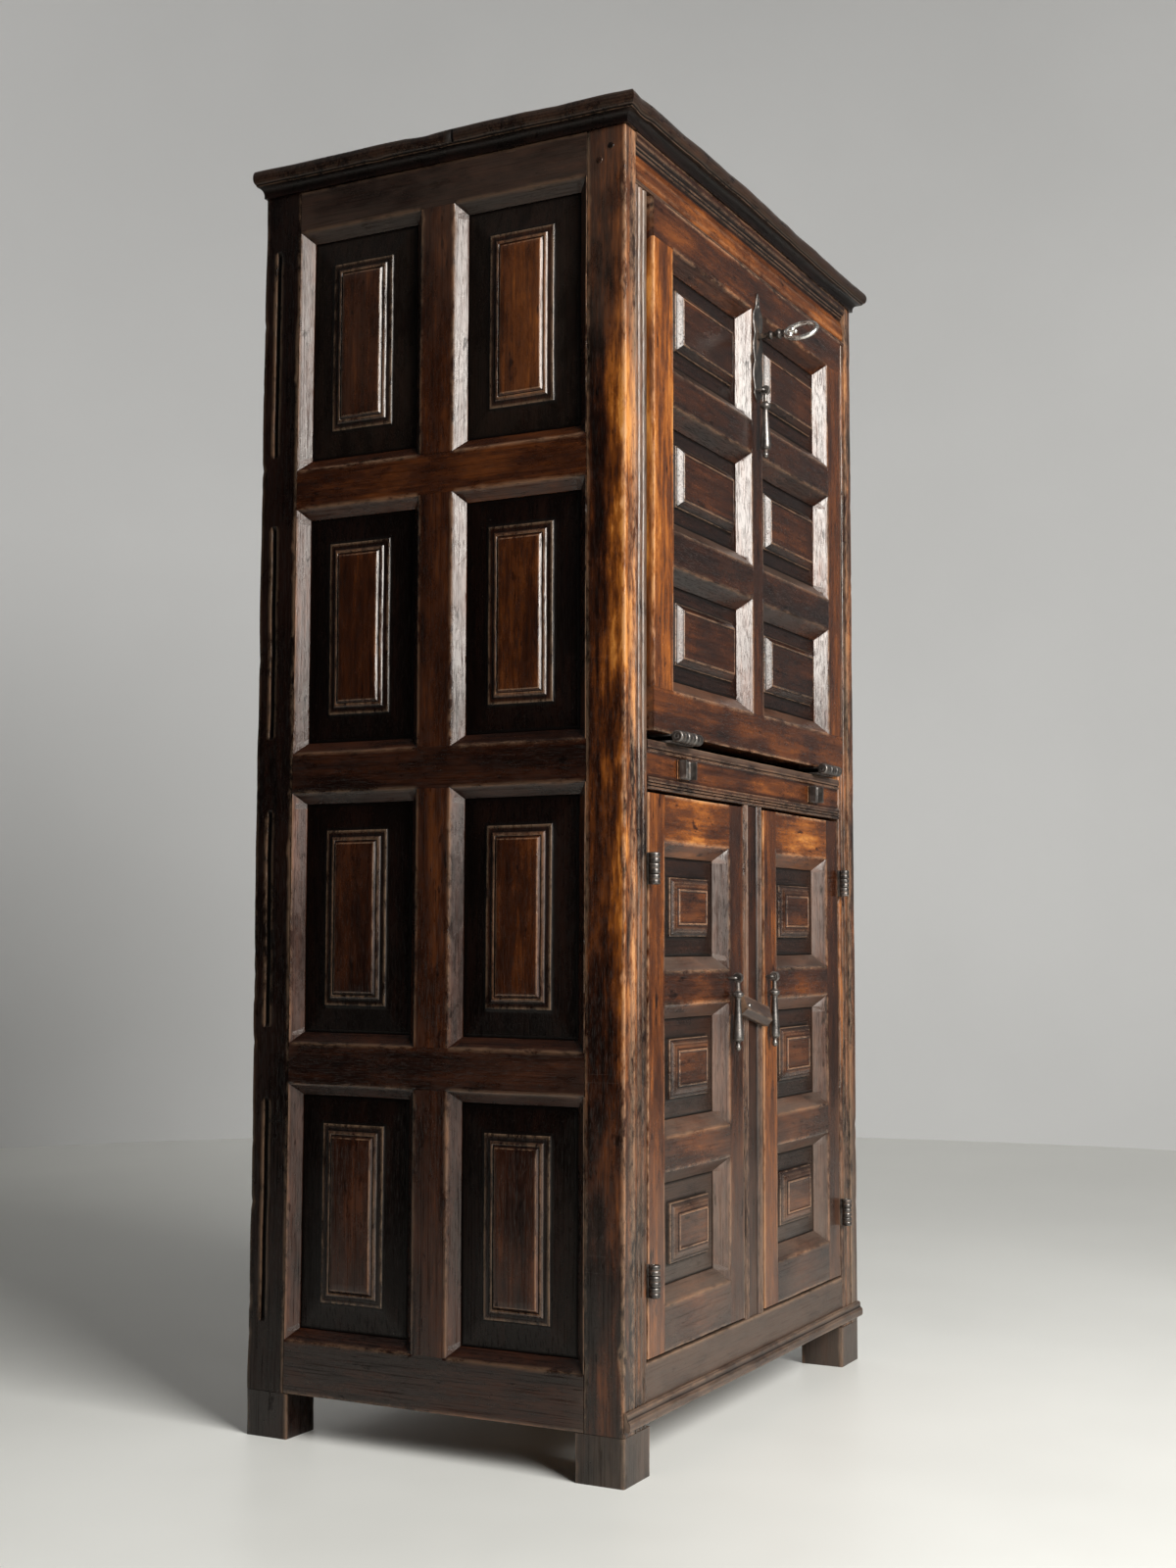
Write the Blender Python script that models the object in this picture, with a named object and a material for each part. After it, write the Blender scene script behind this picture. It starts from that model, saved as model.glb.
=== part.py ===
"""A panelled fall-front cabinet: a fall above two doors, on four posts, with iron fittings.

Metres, +Z up, the front faces -Y. The origin is under the middle of the whole object's box.
Every mesh is first drawn in the carcass frame, whose origin is under the middle of the four
posts, and is then hung on the empty of the body that it moves with.
"""

import math

import bmesh
import bpy
from mathutils import Matrix, Vector

# Carcass
WIDTH = 0.815
DEPTH = 0.552
CARCASS_TOP = 1.660
FOOT_HEIGHT = 0.059
SEAT = 0.0003
OVERSHOOT = 0.004

# Posts
FRONT_POST_X = 0.0645
FRONT_POST_Y = 0.054
FRONT_POST_FLAT = 0.0285
REED_COUNT = 3
REED_DEPTH = 0.0035
REED_STEPS = 4
REAR_POST_X = 0.055
REAR_POST_Y = 0.058
POST_GROOVE_WIDTH = 0.007
POST_GROOVE_DEPTH = 0.006
POST_GROOVE_INSET = 0.019
POST_GROOVE_STOP = 0.020
FRONT_FOOT_X = 0.072
FRONT_FOOT_Y = 0.066
REAR_FOOT_X = 0.062
REAR_FOOT_Y = 0.064

# Sides
SIDE_THICKNESS = 0.024
SIDE_TOP_RAIL = 0.057
SIDE_CROSS_RAIL = 0.053
SIDE_BOTTOM_RAIL = 0.068
SIDE_MUNTIN = 0.050
SIDE_ROWS = 4
SIDE_LAND = 0.001
SIDE_CHAMFER = 0.014
SIDE_SHEET = 0.006
SIDE_SHEET_REVEAL = 0.010
SIDE_RELIEF = (
    (0.0000, 0.0000),
    (0.0350, 0.0050),
    (0.0360, 0.0070),
    (0.0440, 0.0070),
    (0.0465, 0.0090),
    (0.0505, 0.0098),
    (0.0525, 0.0118),
    (0.0560, 0.0124),
)

# Front rails and the muntin between the doors
FRONT_RAIL_RISE = 0.007
BOTTOM_RAIL_HEIGHT = 0.067
MIDDLE_RAIL_HEIGHT = 0.062
FRIEZE_HEIGHT = 0.066
FRIEZE_LAP_DEPTH = 0.020
FRIEZE_MOULDING = 0.002
BAND_RECESS = 0.006
STOP_LIP = 0.012
BASE_MOULDING_HEIGHT = 0.022
BASE_MOULDING_PROUD = 0.008
CENTRE_MUNTIN = 0.064
CENTRE_BEAD = 0.016

# Cornice
CORNICE_HEIGHT = 0.035
CORNICE_OVERHANG = 0.023
CORNICE_REAR_SHARE = 0.35
CORNICE_FILLET = 0.004
CORNICE_STEPS = 5

# Boards inside and behind
BACK_THICKNESS = 0.016
BACK_INSET = 0.020
BACK_BOARD_COUNT = 5
BACK_GROOVE = 0.005
FLOOR_THICKNESS = 0.016
FLOOR_DROP = 0.012
DUST_BOARD_THICKNESS = 0.014

# Framed leaves: the fall and the doors
FRONT_CHAMFER = 0.018
LEAF_SETBACK = 0.002
FALL_PROUD = 0.007
PANEL_CLEARANCE = 0.0005
PANEL_LIP = 0.008
PANEL_LIP_THICKNESS = 0.006
PANEL_SINK = 0.001

FALL_THICKNESS = 0.040
FALL_SIDE_GAP = 0.003
FALL_TOP_GAP = 0.003
FALL_HINGE_GAP = 0.011
FALL_STILE = 0.057
FALL_MUNTIN = 0.038
FALL_TOP_RAIL = 0.053
FALL_CROSS_RAIL = 0.0465
FALL_BOTTOM_RAIL = 0.055
FALL_ROWS = ("top", "middle", "bottom")
FALL_RELIEF = (
    (0.0000, 0.0000),
    (0.0210, 0.0015),
    (0.0220, 0.0045),
    (0.0240, 0.0050),
    (0.0330, 0.0100),
    (0.0340, 0.0120),
    (0.0370, 0.0125),
)

DOOR_THICKNESS = 0.030
DOOR_HEIGHT = 0.692
DOOR_GAP = 0.004
DOOR_HINGE_GAP = 0.005
DOOR_STILE = 0.048
DOOR_TOP_RAIL = 0.059
DOOR_CROSS_RAIL = 0.0425
DOOR_BOTTOM_RAIL = 0.056
DOOR_RELIEF = (
    (0.0000, 0.0000),
    (0.0250, 0.0010),
    (0.0260, 0.0060),
    (0.0285, 0.0065),
    (0.0400, 0.0105),
    (0.0410, 0.0125),
    (0.0445, 0.0130),
)

# Hinges
HINGE_PIN_RADIUS = 0.003
HINGE_RUNNING_GAP = 0.0003
HINGE_SIDES = 16
FALL_HINGE_RADIUS = 0.008
FALL_HINGE_LENGTH = 0.066
FALL_HINGE_LEAF = 0.0024
FALL_HINGE_LEAF_DEPTH = 0.022
FALL_HINGE_INSET = 0.081
FALL_HINGE_DROP = 0.003
DOOR_HINGE_RADIUS = 0.007
DOOR_HINGE_LENGTH = 0.040
DOOR_HINGE_LEAF = 0.0018
DOOR_HINGE_LEAF_DEPTH = 0.024
DOOR_HINGE_INSET = 0.095
HINGE_PROUD = 0.001

# Lopers that carry the open fall, with their iron pulls
LOPER_INSET = 0.1755
LOPER_WIDTH = 0.035
LOPER_HEIGHT = 0.025
LOPER_LENGTH = 0.440
LOPER_RISE = 0.019
LOPER_CLEARANCE = 0.0004
PULL_WIDTH = 0.034
PULL_HEIGHT = 0.024
PULL_REACH = 0.012
PULL_STRAP = 0.003
RIVET_RADIUS = 0.004
RIVET_HEIGHT = 0.004

# Lock, key and escutcheon on the fall
KEY_DROP = 0.089
KEY_RADIUS = 0.0045
KEY_REACH = 0.093
KEY_BOW_LENGTH = 0.053
KEY_BOW_WIDTH = 0.042
KEY_BOW_WIRE = 0.0035
KEY_BOW_TILT = math.radians(52)
KEY_COLLAR_RADIUS = 0.0075
KEY_COLLAR_LENGTH = 0.007
KEY_BIT = 0.012
KEY_BIT_WIDTH = 0.006
KEY_BIT_THICKNESS = 0.004
KEYHOLE_CLEARANCE = 0.0004
LOCK_WIDTH = 0.080
LOCK_HEIGHT = 0.100
LOCK_THICKNESS = 0.014
LOCK_TOP_GAP = 0.019
LOCK_WELL_DEPTH = 0.008
BOLT_WIDTH = 0.028
BOLT_THICKNESS = 0.005
BOLT_LENGTH = 0.036
BOLT_PROUD = 0.004
BOLT_THROW = 0.012
ESCUTCHEON_HEIGHT = 0.160
ESCUTCHEON_TOP_DROP = 0.025
ESCUTCHEON_WIDTH = 0.034
ESCUTCHEON_WAIST = 0.022
ESCUTCHEON_THICKNESS = 0.002
ESCUTCHEON_SCALLOPS = 4
ESCUTCHEON_STEPS = 24
ESCUTCHEON_TOP_TIP = 0.032
ESCUTCHEON_LOW_TIP = 0.012

# Drop handles
STAPLE_RADIUS = 0.0018
STAPLE_SPREAD = 0.0075
STAPLE_PROUD = 0.0105
EYE_RADIUS = 0.0060
EYE_WIRE = 0.0026
EYE_CLEARANCE = 0.0004
DROP_LENGTH = 0.098
DROP_RADIUS = 0.0075
DROP_SIDES = 14
DROP_PROFILE = (
    (0.45, -0.01),
    (0.45, 0.14),
    (0.95, 0.17),
    (0.95, 0.20),
    (0.55, 0.23),
    (0.60, 0.35),
    (0.80, 0.60),
    (1.00, 0.80),
    (0.90, 0.84),
    (0.40, 0.87),
    (0.35, 0.90),
    (0.50, 0.94),
    (0.45, 0.98),
    (0.15, 1.00),
)
FALL_HANDLE_RISE = 0.017
LEFT_HANDLE_INSET = 0.045
RIGHT_HANDLE_INSET = 0.014
DOOR_HANDLE_DROP = 0.234

# Turn button on the left door
BUTTON_REACH = 0.084
BUTTON_TAIL = 0.011
BUTTON_WIDTH = 0.028
BUTTON_EDGE = 0.009
BUTTON_RIDGE = 0.018
BUTTON_END_SLOPE = 0.010
BUTTON_CLEARANCE = 0.0006
BUTTON_TILT = math.radians(12)
BUTTON_INSET = 0.016
BUTTON_DROP = 0.272
NAIL_RADIUS = 0.004

# Places worked out from the sizes above
HALF_WIDTH = WIDTH / 2
FRONT = -DEPTH / 2
REAR = DEPTH / 2
BAY_HALF = HALF_WIDTH - FRONT_POST_X
BAY_FRONT = FRONT + FRONT_POST_Y
BAY_REAR = REAR - REAR_POST_Y
LEAF_FACE = FRONT + LEAF_SETBACK
FALL_FACE = FRONT - FALL_PROUD
BOTTOM_RAIL_LOW = FOOT_HEIGHT + FRONT_RAIL_RISE
BOTTOM_RAIL_TOP = BOTTOM_RAIL_LOW + BOTTOM_RAIL_HEIGHT
DOOR_LOW = BOTTOM_RAIL_TOP + DOOR_GAP
DOOR_TOP = DOOR_LOW + DOOR_HEIGHT
MIDDLE_RAIL_LOW = DOOR_TOP + DOOR_GAP
MIDDLE_RAIL_TOP = MIDDLE_RAIL_LOW + MIDDLE_RAIL_HEIGHT
FALL_LOW = MIDDLE_RAIL_TOP + FALL_HINGE_GAP
FRIEZE_LOW = CARCASS_TOP - FRIEZE_HEIGHT
FALL_TOP = FRIEZE_LOW - FALL_TOP_GAP
FALL_HALF = BAY_HALF - FALL_SIDE_GAP
FALL_BACK = FALL_FACE + FALL_THICKNESS
DOOR_BACK = LEAF_FACE + DOOR_THICKNESS
DOOR_INNER = CENTRE_MUNTIN / 2 + DOOR_GAP
DOOR_OUTER = BAY_HALF - DOOR_HINGE_GAP
LOPER_X = WIDTH / 2 - LOPER_INSET
LOPER_LOW = MIDDLE_RAIL_LOW + LOPER_RISE
LOPER_TOP = LOPER_LOW + LOPER_HEIGHT
BACK_FRONT = REAR - BACK_INSET - BACK_THICKNESS
KEY_Z = FALL_TOP - KEY_DROP
KEY_TIP = FALL_FACE - KEY_REACH
LOCK_TOP = FALL_TOP - LOCK_TOP_GAP
LOCK_FRONT = FALL_BACK + SEAT
ESCUTCHEON_TOP = FALL_TOP - ESCUTCHEON_TOP_DROP
ESCUTCHEON_LOW = ESCUTCHEON_TOP - ESCUTCHEON_HEIGHT
CORNICE_TOP = CARCASS_TOP + SEAT + CORNICE_HEIGHT
CORNICE_REAR = REAR + CORNICE_OVERHANG * CORNICE_REAR_SHARE
FRAME_SHIFT = -(KEY_TIP + CORNICE_REAR) / 2

# Pivots, in the carcass frame
HANDLE_BAR_Y = LEAF_FACE - STAPLE_PROUD
FALL_AXIS_Y = FALL_FACE - FALL_HINGE_RADIUS - HINGE_PROUD
FALL_AXIS = Vector((0, FALL_AXIS_Y, FALL_LOW - FALL_HINGE_DROP))
DOOR_AXIS_X = BAY_HALF - DOOR_HINGE_GAP / 2
DOOR_AXIS_Y = FRONT - DOOR_HINGE_RADIUS - HINGE_PROUD
KEY_AXIS = Vector((0, FALL_FACE, KEY_Z))
FALL_HANDLE_Z = ESCUTCHEON_LOW + FALL_HANDLE_RISE
FALL_HANDLE_Y = FALL_FACE - ESCUTCHEON_THICKNESS - STAPLE_PROUD
FALL_HANDLE_AXIS = Vector((0, FALL_HANDLE_Y, FALL_HANDLE_Z))
DOOR_HANDLE_Z = DOOR_TOP - DOOR_HANDLE_DROP
LEFT_HANDLE_AXIS = Vector((-DOOR_INNER - LEFT_HANDLE_INSET, HANDLE_BAR_Y, DOOR_HANDLE_Z))
RIGHT_HANDLE_AXIS = Vector((DOOR_INNER + RIGHT_HANDLE_INSET, HANDLE_BAR_Y, DOOR_HANDLE_Z))
BUTTON_AXIS = Vector((-DOOR_INNER - BUTTON_INSET, LEAF_FACE, DOOR_TOP - BUTTON_DROP))
PIVOTS = {
    "carcass": Vector((0, 0, 0)),
    "fall": FALL_AXIS,
    "left_door": Vector((-DOOR_AXIS_X, DOOR_AXIS_Y, DOOR_LOW)),
    "right_door": Vector((DOOR_AXIS_X, DOOR_AXIS_Y, DOOR_LOW)),
    "left_loper": Vector((-LOPER_X, FRONT, LOPER_LOW)),
    "right_loper": Vector((LOPER_X, FRONT, LOPER_LOW)),
    "key": KEY_AXIS,
    "lock_bolt": Vector((0, LOCK_FRONT, LOCK_TOP)),
    "fall_handle": FALL_HANDLE_AXIS,
    "left_handle": LEFT_HANDLE_AXIS,
    "right_handle": RIGHT_HANDLE_AXIS,
    "turn_button": BUTTON_AXIS,
}
SIDES = {"left": -1, "right": 1}

# Finishes: colour, roughness, metallic
DARK_WOOD = ((0.060, 0.026, 0.014), 0.38, 0.0)
WARM_WOOD = ((0.120, 0.045, 0.018), 0.36, 0.0)
PANEL_WOOD = ((0.040, 0.019, 0.011), 0.34, 0.0)
PLAIN_WOOD = ((0.150, 0.085, 0.045), 0.65, 0.0)
IRON = ((0.060, 0.050, 0.045), 0.50, 0.9)
STEEL = ((0.550, 0.530, 0.500), 0.28, 1.0)

bodies = {}


def clear_scene():
    for obj in list(bpy.data.objects):
        bpy.data.objects.remove(obj, do_unlink=True)


def add_empty(name, location, parent=None):
    empty = bpy.data.objects.new(name, None)
    empty.location = location
    empty.parent = parent
    bpy.context.scene.collection.objects.link(empty)
    return empty


def add_bodies():
    """One empty for each body, on its joint's axis, under one empty that sets the whole object's origin."""
    root = add_empty("cabinet_origin", Vector((0, FRAME_SHIFT, 0)))
    for name, pivot in PIVOTS.items():
        bodies[name] = add_empty(name + "_axis", pivot, root)


def finish(obj, look):
    colour, roughness, metallic = look
    material = bpy.data.materials.new(obj.name)
    material.use_nodes = True
    shader = material.node_tree.nodes["Principled BSDF"]
    shader.inputs["Base Color"].default_value = (*colour, 1.0)
    shader.inputs["Roughness"].default_value = roughness
    shader.inputs["Metallic"].default_value = metallic
    obj.data.materials.append(material)


def add_part(name, mesh, body, look):
    """A node: the drawn mesh, hung on its body's empty."""
    bmesh.ops.recalc_face_normals(mesh, faces=mesh.faces)
    bmesh.ops.translate(mesh, verts=mesh.verts, vec=-PIVOTS[body])
    data = bpy.data.meshes.new(name)
    mesh.to_mesh(data)
    mesh.free()
    obj = bpy.data.objects.new(name, data)
    obj.parent = bodies[body]
    bpy.context.scene.collection.objects.link(obj)
    if look:
        finish(obj, look)
        data.shade_smooth()
        data.set_sharp_from_angle(angle=math.radians(30))
    return obj


def combine(obj, mesh, body, operation):
    """Cuts a drawn mesh out of a node, or joins it to the node, with a Boolean modifier."""
    tool = add_part(f"{obj.name}_tool_{len(obj.modifiers)}", mesh, body, None)
    tool.hide_render = True
    tool.display_type = "WIRE"
    modifier = obj.modifiers.new(operation.lower(), "BOOLEAN")
    modifier.operation = operation
    modifier.solver = "EXACT"
    modifier.object = tool


def loft(mesh, loops, ring=False):
    """Skins a row of equal loops of points, with a cap at each end unless the row closes on itself."""
    rows = [[mesh.verts.new(point) for point in loop] for loop in loops]
    count = len(rows[0])
    pairs = list(zip(rows, rows[1:]))
    if ring:
        pairs.append((rows[-1], rows[0]))
    for low, high in pairs:
        for i in range(count):
            j = (i + 1) % count
            mesh.faces.new((low[i], low[j], high[j], high[i]))
    if not ring:
        mesh.faces.new(rows[0])
        mesh.faces.new(rows[-1])
    return mesh


def box(mesh, low, high):
    """A plain block between two corners."""
    loops = []
    for z in (low[2], high[2]):
        corners = ((low[0], low[1]), (high[0], low[1]), (high[0], high[1]), (low[0], high[1]))
        loops.append([Vector((x, y, z)) for x, y in corners])
    return loft(mesh, loops)


def upright(mesh, outline, low, high):
    """An outline in X and Y, drawn up from one height to another."""
    return loft(mesh, [[Vector((x, y, z)) for x, y in outline] for z in (low, high)])


def rail(mesh, outline, half_length):
    """An outline of depths behind the front and heights, drawn across the cabinet."""
    ends = (-half_length, half_length)
    return loft(mesh, [[Vector((x, FRONT + depth, z)) for depth, z in outline] for x in ends])


def turned(mesh, profile, sides, matrix):
    """Radii at distances along an axis, turned about it."""
    loops = []
    for radius, along in profile:
        turns = (2 * math.pi * i / sides for i in range(sides))
        loops.append([matrix @ Vector((radius * math.cos(a), radius * math.sin(a), along)) for a in turns])
    return loft(mesh, loops)


def hollow_turned(mesh, outer, inner, low, high, sides, matrix):
    """A tube about an axis."""
    loops = []
    for radius, along in ((outer, low), (outer, high), (inner, high), (inner, low)):
        turns = (2 * math.pi * i / sides for i in range(sides))
        loops.append([matrix @ Vector((radius * math.cos(a), radius * math.sin(a), along)) for a in turns])
    return loft(mesh, loops, ring=True)


def oval_ring(mesh, radius_x, radius_z, wire, turns, sides, matrix):
    """A round wire bent into an oval in the local X and Z plane."""
    loops = []
    for i in range(turns):
        a = 2 * math.pi * i / turns
        outward = Vector((math.cos(a) * radius_z, 0, math.sin(a) * radius_x)).normalized()
        centre = Vector((math.cos(a) * radius_x, 0, math.sin(a) * radius_z))
        loop = []
        for j in range(sides):
            b = 2 * math.pi * j / sides
            loop.append(matrix @ (centre + outward * wire * math.cos(b) + Vector((0, wire * math.sin(b), 0))))
        loops.append(loop)
    return loft(mesh, loops, ring=True)


def bent_wire(mesh, path, radius, sides):
    """A round wire along a bent path that lies level, mitred at its corners."""
    loops = []
    for i, point in enumerate(path):
        before = path[max(i - 1, 0)]
        after = path[min(i + 1, len(path) - 1)]
        into = (point - before).normalized() if i else (after - point).normalized()
        out = (after - point).normalized() if i < len(path) - 1 else into
        along = (into + out).normalized()
        side = along.cross(Vector((0, 0, 1))).normalized() / max(along.dot(into), 0.1)
        loop = []
        for j in range(sides):
            a = 2 * math.pi * j / sides
            loop.append(point + side * radius * math.cos(a) + Vector((0, 0, radius * math.sin(a))))
        loops.append(loop)
    return loft(mesh, loops)


def on_front(face):
    """Places width, height and depth on a leaf whose face is at that Y."""
    return lambda u, v, depth: Vector((u, face + depth, v))


def on_side(sign):
    """Places width, height and depth on the left or the right side."""
    return lambda u, v, depth: Vector((sign * (HALF_WIDTH - depth), u, v))


def nested(mesh, place, rect, steps):
    """Rectangles set in by steps of inset and depth, skinned into one solid."""
    u0, v0, u1, v1 = rect
    loops = []
    for inset, depth in steps:
        corners = (
            (u0 + inset, v0 + inset),
            (u1 - inset, v0 + inset),
            (u1 - inset, v1 - inset),
            (u0 + inset, v1 - inset),
        )
        loops.append([place(u, v, depth) for u, v in corners])
    return loft(mesh, loops)


def openings(low, high, columns, rows, edges, muntin, cross):
    """Equal openings in a frame, row by row from the top, as low and high corners."""
    left, bottom, right, top = edges
    width = (high[0] - low[0] - left - right - muntin * (columns - 1)) / columns
    height = (high[1] - low[1] - bottom - top - cross * (rows - 1)) / rows
    rects = []
    for row in range(rows):
        v1 = high[1] - top - row * (height + cross)
        for column in range(columns):
            u0 = low[0] + left + column * (width + muntin)
            rects.append((u0, v1 - height, u0 + width, v1))
    return rects


def reeds(start, end):
    """Points of a row of half-round reeds between two places, with their depths behind the face."""
    pitch = (end - start) / REED_COUNT
    points = []
    for reed in range(REED_COUNT):
        for step in range(REED_STEPS + 1):
            if reed and not step:
                continue
            turn = math.pi * step / REED_STEPS
            along = start + pitch * (reed + (1 - math.cos(turn)) / 2)
            points.append((along, REED_DEPTH * (1 - math.sin(turn))))
    return points


def side_openings():
    """The panel openings of a side, in Y and Z."""
    low = (BAY_FRONT, FOOT_HEIGHT)
    high = (BAY_REAR, CARCASS_TOP)
    edges = (SIDE_LAND, SIDE_BOTTOM_RAIL, SIDE_LAND, SIDE_TOP_RAIL)
    return openings(low, high, 2, SIDE_ROWS, edges, SIDE_MUNTIN, SIDE_CROSS_RAIL)


def front_post(side):
    """A front post: a flat, then reeds beside the leaves, a housing for the frieze and a wider foot."""
    sign = SIDES[side]
    profile = [(0, 0), (FRONT_POST_FLAT, 0)]
    profile += reeds(FRONT_POST_FLAT, FRONT_POST_X)
    profile += [(FRONT_POST_X, FRONT_POST_Y), (0, FRONT_POST_Y)]
    outline = [(sign * (HALF_WIDTH - x), FRONT + y) for x, y in profile]
    foot_top = FOOT_HEIGHT - SEAT
    mesh = upright(bmesh.new(), outline, foot_top - OVERSHOOT, CARCASS_TOP)
    post = add_part(f"front_{side}_post", mesh, "carcass", WARM_WOOD)
    foot = box(
        bmesh.new(),
        (sign * HALF_WIDTH, FRONT, 0),
        (sign * (HALF_WIDTH - FRONT_FOOT_X), FRONT + FRONT_FOOT_Y, foot_top),
    )
    combine(post, foot, "carcass", "UNION")
    housing = box(
        bmesh.new(),
        (sign * (HALF_WIDTH - FRONT_POST_FLAT), FRONT - OVERSHOOT, FRIEZE_LOW - SEAT),
        (sign * (BAY_HALF - OVERSHOOT), FRONT + FRIEZE_LAP_DEPTH + SEAT, CARCASS_TOP + OVERSHOOT),
    )
    combine(post, housing, "carcass", "DIFFERENCE")


def rear_post(side):
    """A rear post with stopped grooves down its outer face and a wider foot."""
    sign = SIDES[side]
    foot_top = FOOT_HEIGHT - SEAT
    mesh = box(
        bmesh.new(),
        (sign * HALF_WIDTH, BAY_REAR, foot_top - OVERSHOOT),
        (sign * (HALF_WIDTH - REAR_POST_X), REAR, CARCASS_TOP),
    )
    post = add_part(f"rear_{side}_post", mesh, "carcass", DARK_WOOD)
    foot = box(
        bmesh.new(),
        (sign * HALF_WIDTH, REAR - REAR_FOOT_Y, 0),
        (sign * (HALF_WIDTH - REAR_FOOT_X), REAR, foot_top),
    )
    combine(post, foot, "carcass", "UNION")
    grooves = bmesh.new()
    groove_rear = REAR - POST_GROOVE_INSET
    for rect in side_openings()[::2]:
        box(
            grooves,
            (sign * (HALF_WIDTH + OVERSHOOT), groove_rear - POST_GROOVE_WIDTH, rect[1] + POST_GROOVE_STOP),
            (sign * (HALF_WIDTH - POST_GROOVE_DEPTH), groove_rear, rect[3] - POST_GROOVE_STOP),
        )
    combine(post, grooves, "carcass", "DIFFERENCE")


def side_frame(side):
    """The rails and muntins of one side, with a chamfer round every opening."""
    sign = SIDES[side]
    mesh = box(
        bmesh.new(),
        (sign * HALF_WIDTH, BAY_FRONT + SEAT, FOOT_HEIGHT),
        (sign * (HALF_WIDTH - SIDE_THICKNESS), BAY_REAR - SEAT, CARCASS_TOP),
    )
    frame = add_part(f"{side}_side_frame", mesh, "carcass", DARK_WOOD)
    steps = (
        (-OVERSHOOT, -OVERSHOOT),
        (SIDE_CHAMFER, SIDE_CHAMFER),
        (SIDE_CHAMFER, SIDE_THICKNESS + OVERSHOOT),
    )
    holes = bmesh.new()
    for rect in side_openings():
        nested(holes, on_side(sign), rect, steps)
    combine(frame, holes, "carcass", "DIFFERENCE")


def side_panels(side, column, name):
    """One column of raised panels, joined by the thin sheet that runs behind the rails."""
    sign = SIDES[side]
    rects = side_openings()[column::2]
    margin = SIDE_SHEET_REVEAL - SIDE_CHAMFER
    sheet = (rects[0][0] - margin, rects[-1][1] - margin, rects[0][2] + margin, rects[0][3] + margin)
    back = SIDE_THICKNESS + SEAT
    sheet_steps = ((0, back), (0, back + SIDE_SHEET))
    board = nested(bmesh.new(), on_side(sign), sheet, sheet_steps)
    panels = add_part(f"{side}_{name}_panels", board, "carcass", PANEL_WOOD)
    edge = SIDE_CHAMFER + PANEL_CLEARANCE
    low = SIDE_CHAMFER + PANEL_SINK
    steps = [(edge, back + SIDE_SHEET / 2)]
    steps += [(edge + inset, low - rise) for inset, rise in SIDE_RELIEF]
    raised = bmesh.new()
    for rect in rects:
        nested(raised, on_side(sign), rect, steps)
    combine(panels, raised, "carcass", "UNION")


def frieze_rail():
    """The rail over the fall: a bead, a sunk band and mouldings, a stop lip behind, a hole for the bolt."""
    band_top = CARCASS_TOP - FRIEZE_HEIGHT / 3
    front = [
        (BAND_RECESS / 2, FRIEZE_LOW),
        (0, FRIEZE_LOW + BAND_RECESS / 3),
        (0, FRIEZE_LOW + BAND_RECESS),
        (BAND_RECESS, FRIEZE_LOW + BAND_RECESS * 4 / 3),
        (BAND_RECESS, band_top),
        (FRIEZE_MOULDING, band_top + BAND_RECESS / 2),
        (FRIEZE_MOULDING, band_top + BAND_RECESS),
        (0, band_top + BAND_RECESS * 3 / 2),
        (-FRIEZE_MOULDING, band_top + BAND_RECESS * 2),
        (-FRIEZE_MOULDING, CARCASS_TOP),
    ]
    lip = FALL_BACK + SEAT - FRONT
    back = FRONT_POST_Y - SEAT
    low = FRIEZE_LOW - STOP_LIP
    outline = front + [(back, CARCASS_TOP), (back, low), (lip, low), (lip, FRIEZE_LOW)]
    frieze = add_part("frieze_rail", rail(bmesh.new(), outline, BAY_HALF - SEAT), "carcass", WARM_WOOD)
    lap = front + [(FRIEZE_LAP_DEPTH, CARCASS_TOP), (FRIEZE_LAP_DEPTH, FRIEZE_LOW)]
    lap_half = HALF_WIDTH - FRONT_POST_FLAT - SEAT
    combine(frieze, rail(bmesh.new(), lap, lap_half), "carcass", "UNION")
    slack = BOLT_THICKNESS / 2
    bolt_front, bolt_back = bolt_span()
    hole = box(
        bmesh.new(),
        (-BOLT_WIDTH / 2 - slack, bolt_front - slack, low - OVERSHOOT),
        (BOLT_WIDTH / 2 + slack, bolt_back + slack, LOCK_TOP + BOLT_PROUD + BOLT_THROW + slack),
    )
    combine(frieze, hole, "carcass", "DIFFERENCE")


def middle_rail():
    """The rail between fall and doors: a moulding, the sunk band that holds the lopers, a door moulding."""
    lip = DOOR_BACK + SEAT - FRONT
    back = FRONT_POST_Y - SEAT
    low = MIDDLE_RAIL_LOW
    band_low = LOPER_LOW - BAND_RECESS / 3
    band_top = LOPER_TOP + BAND_RECESS / 3
    step = BAND_RECESS / 3
    outline = [
        (LEAF_SETBACK, low),
        (0, low + step),
        (0, low + step * 3),
        (step, low + step * 4),
        (0, low + step * 5),
        (0, band_low - step),
        (BAND_RECESS / 2, band_low),
        (BAND_RECESS / 2, band_top),
        (0, band_top + step),
        (0, MIDDLE_RAIL_TOP - step * 4),
        (step, MIDDLE_RAIL_TOP - step * 3),
        (0, MIDDLE_RAIL_TOP - step * 2),
        (0, MIDDLE_RAIL_TOP),
        (back, MIDDLE_RAIL_TOP),
        (back, low - STOP_LIP),
        (lip, low - STOP_LIP),
        (lip, low),
    ]
    mesh = rail(bmesh.new(), outline, BAY_HALF - SEAT)
    middle = add_part("middle_rail", mesh, "carcass", WARM_WOOD)
    slots = bmesh.new()
    half = LOPER_WIDTH / 2 + LOPER_CLEARANCE
    for sign in SIDES.values():
        box(
            slots,
            (sign * LOPER_X - half, FRONT - OVERSHOOT, LOPER_LOW - LOPER_CLEARANCE),
            (sign * LOPER_X + half, BAY_FRONT + OVERSHOOT, LOPER_TOP + LOPER_CLEARANCE),
        )
    combine(middle, slots, "carcass", "DIFFERENCE")


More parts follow.
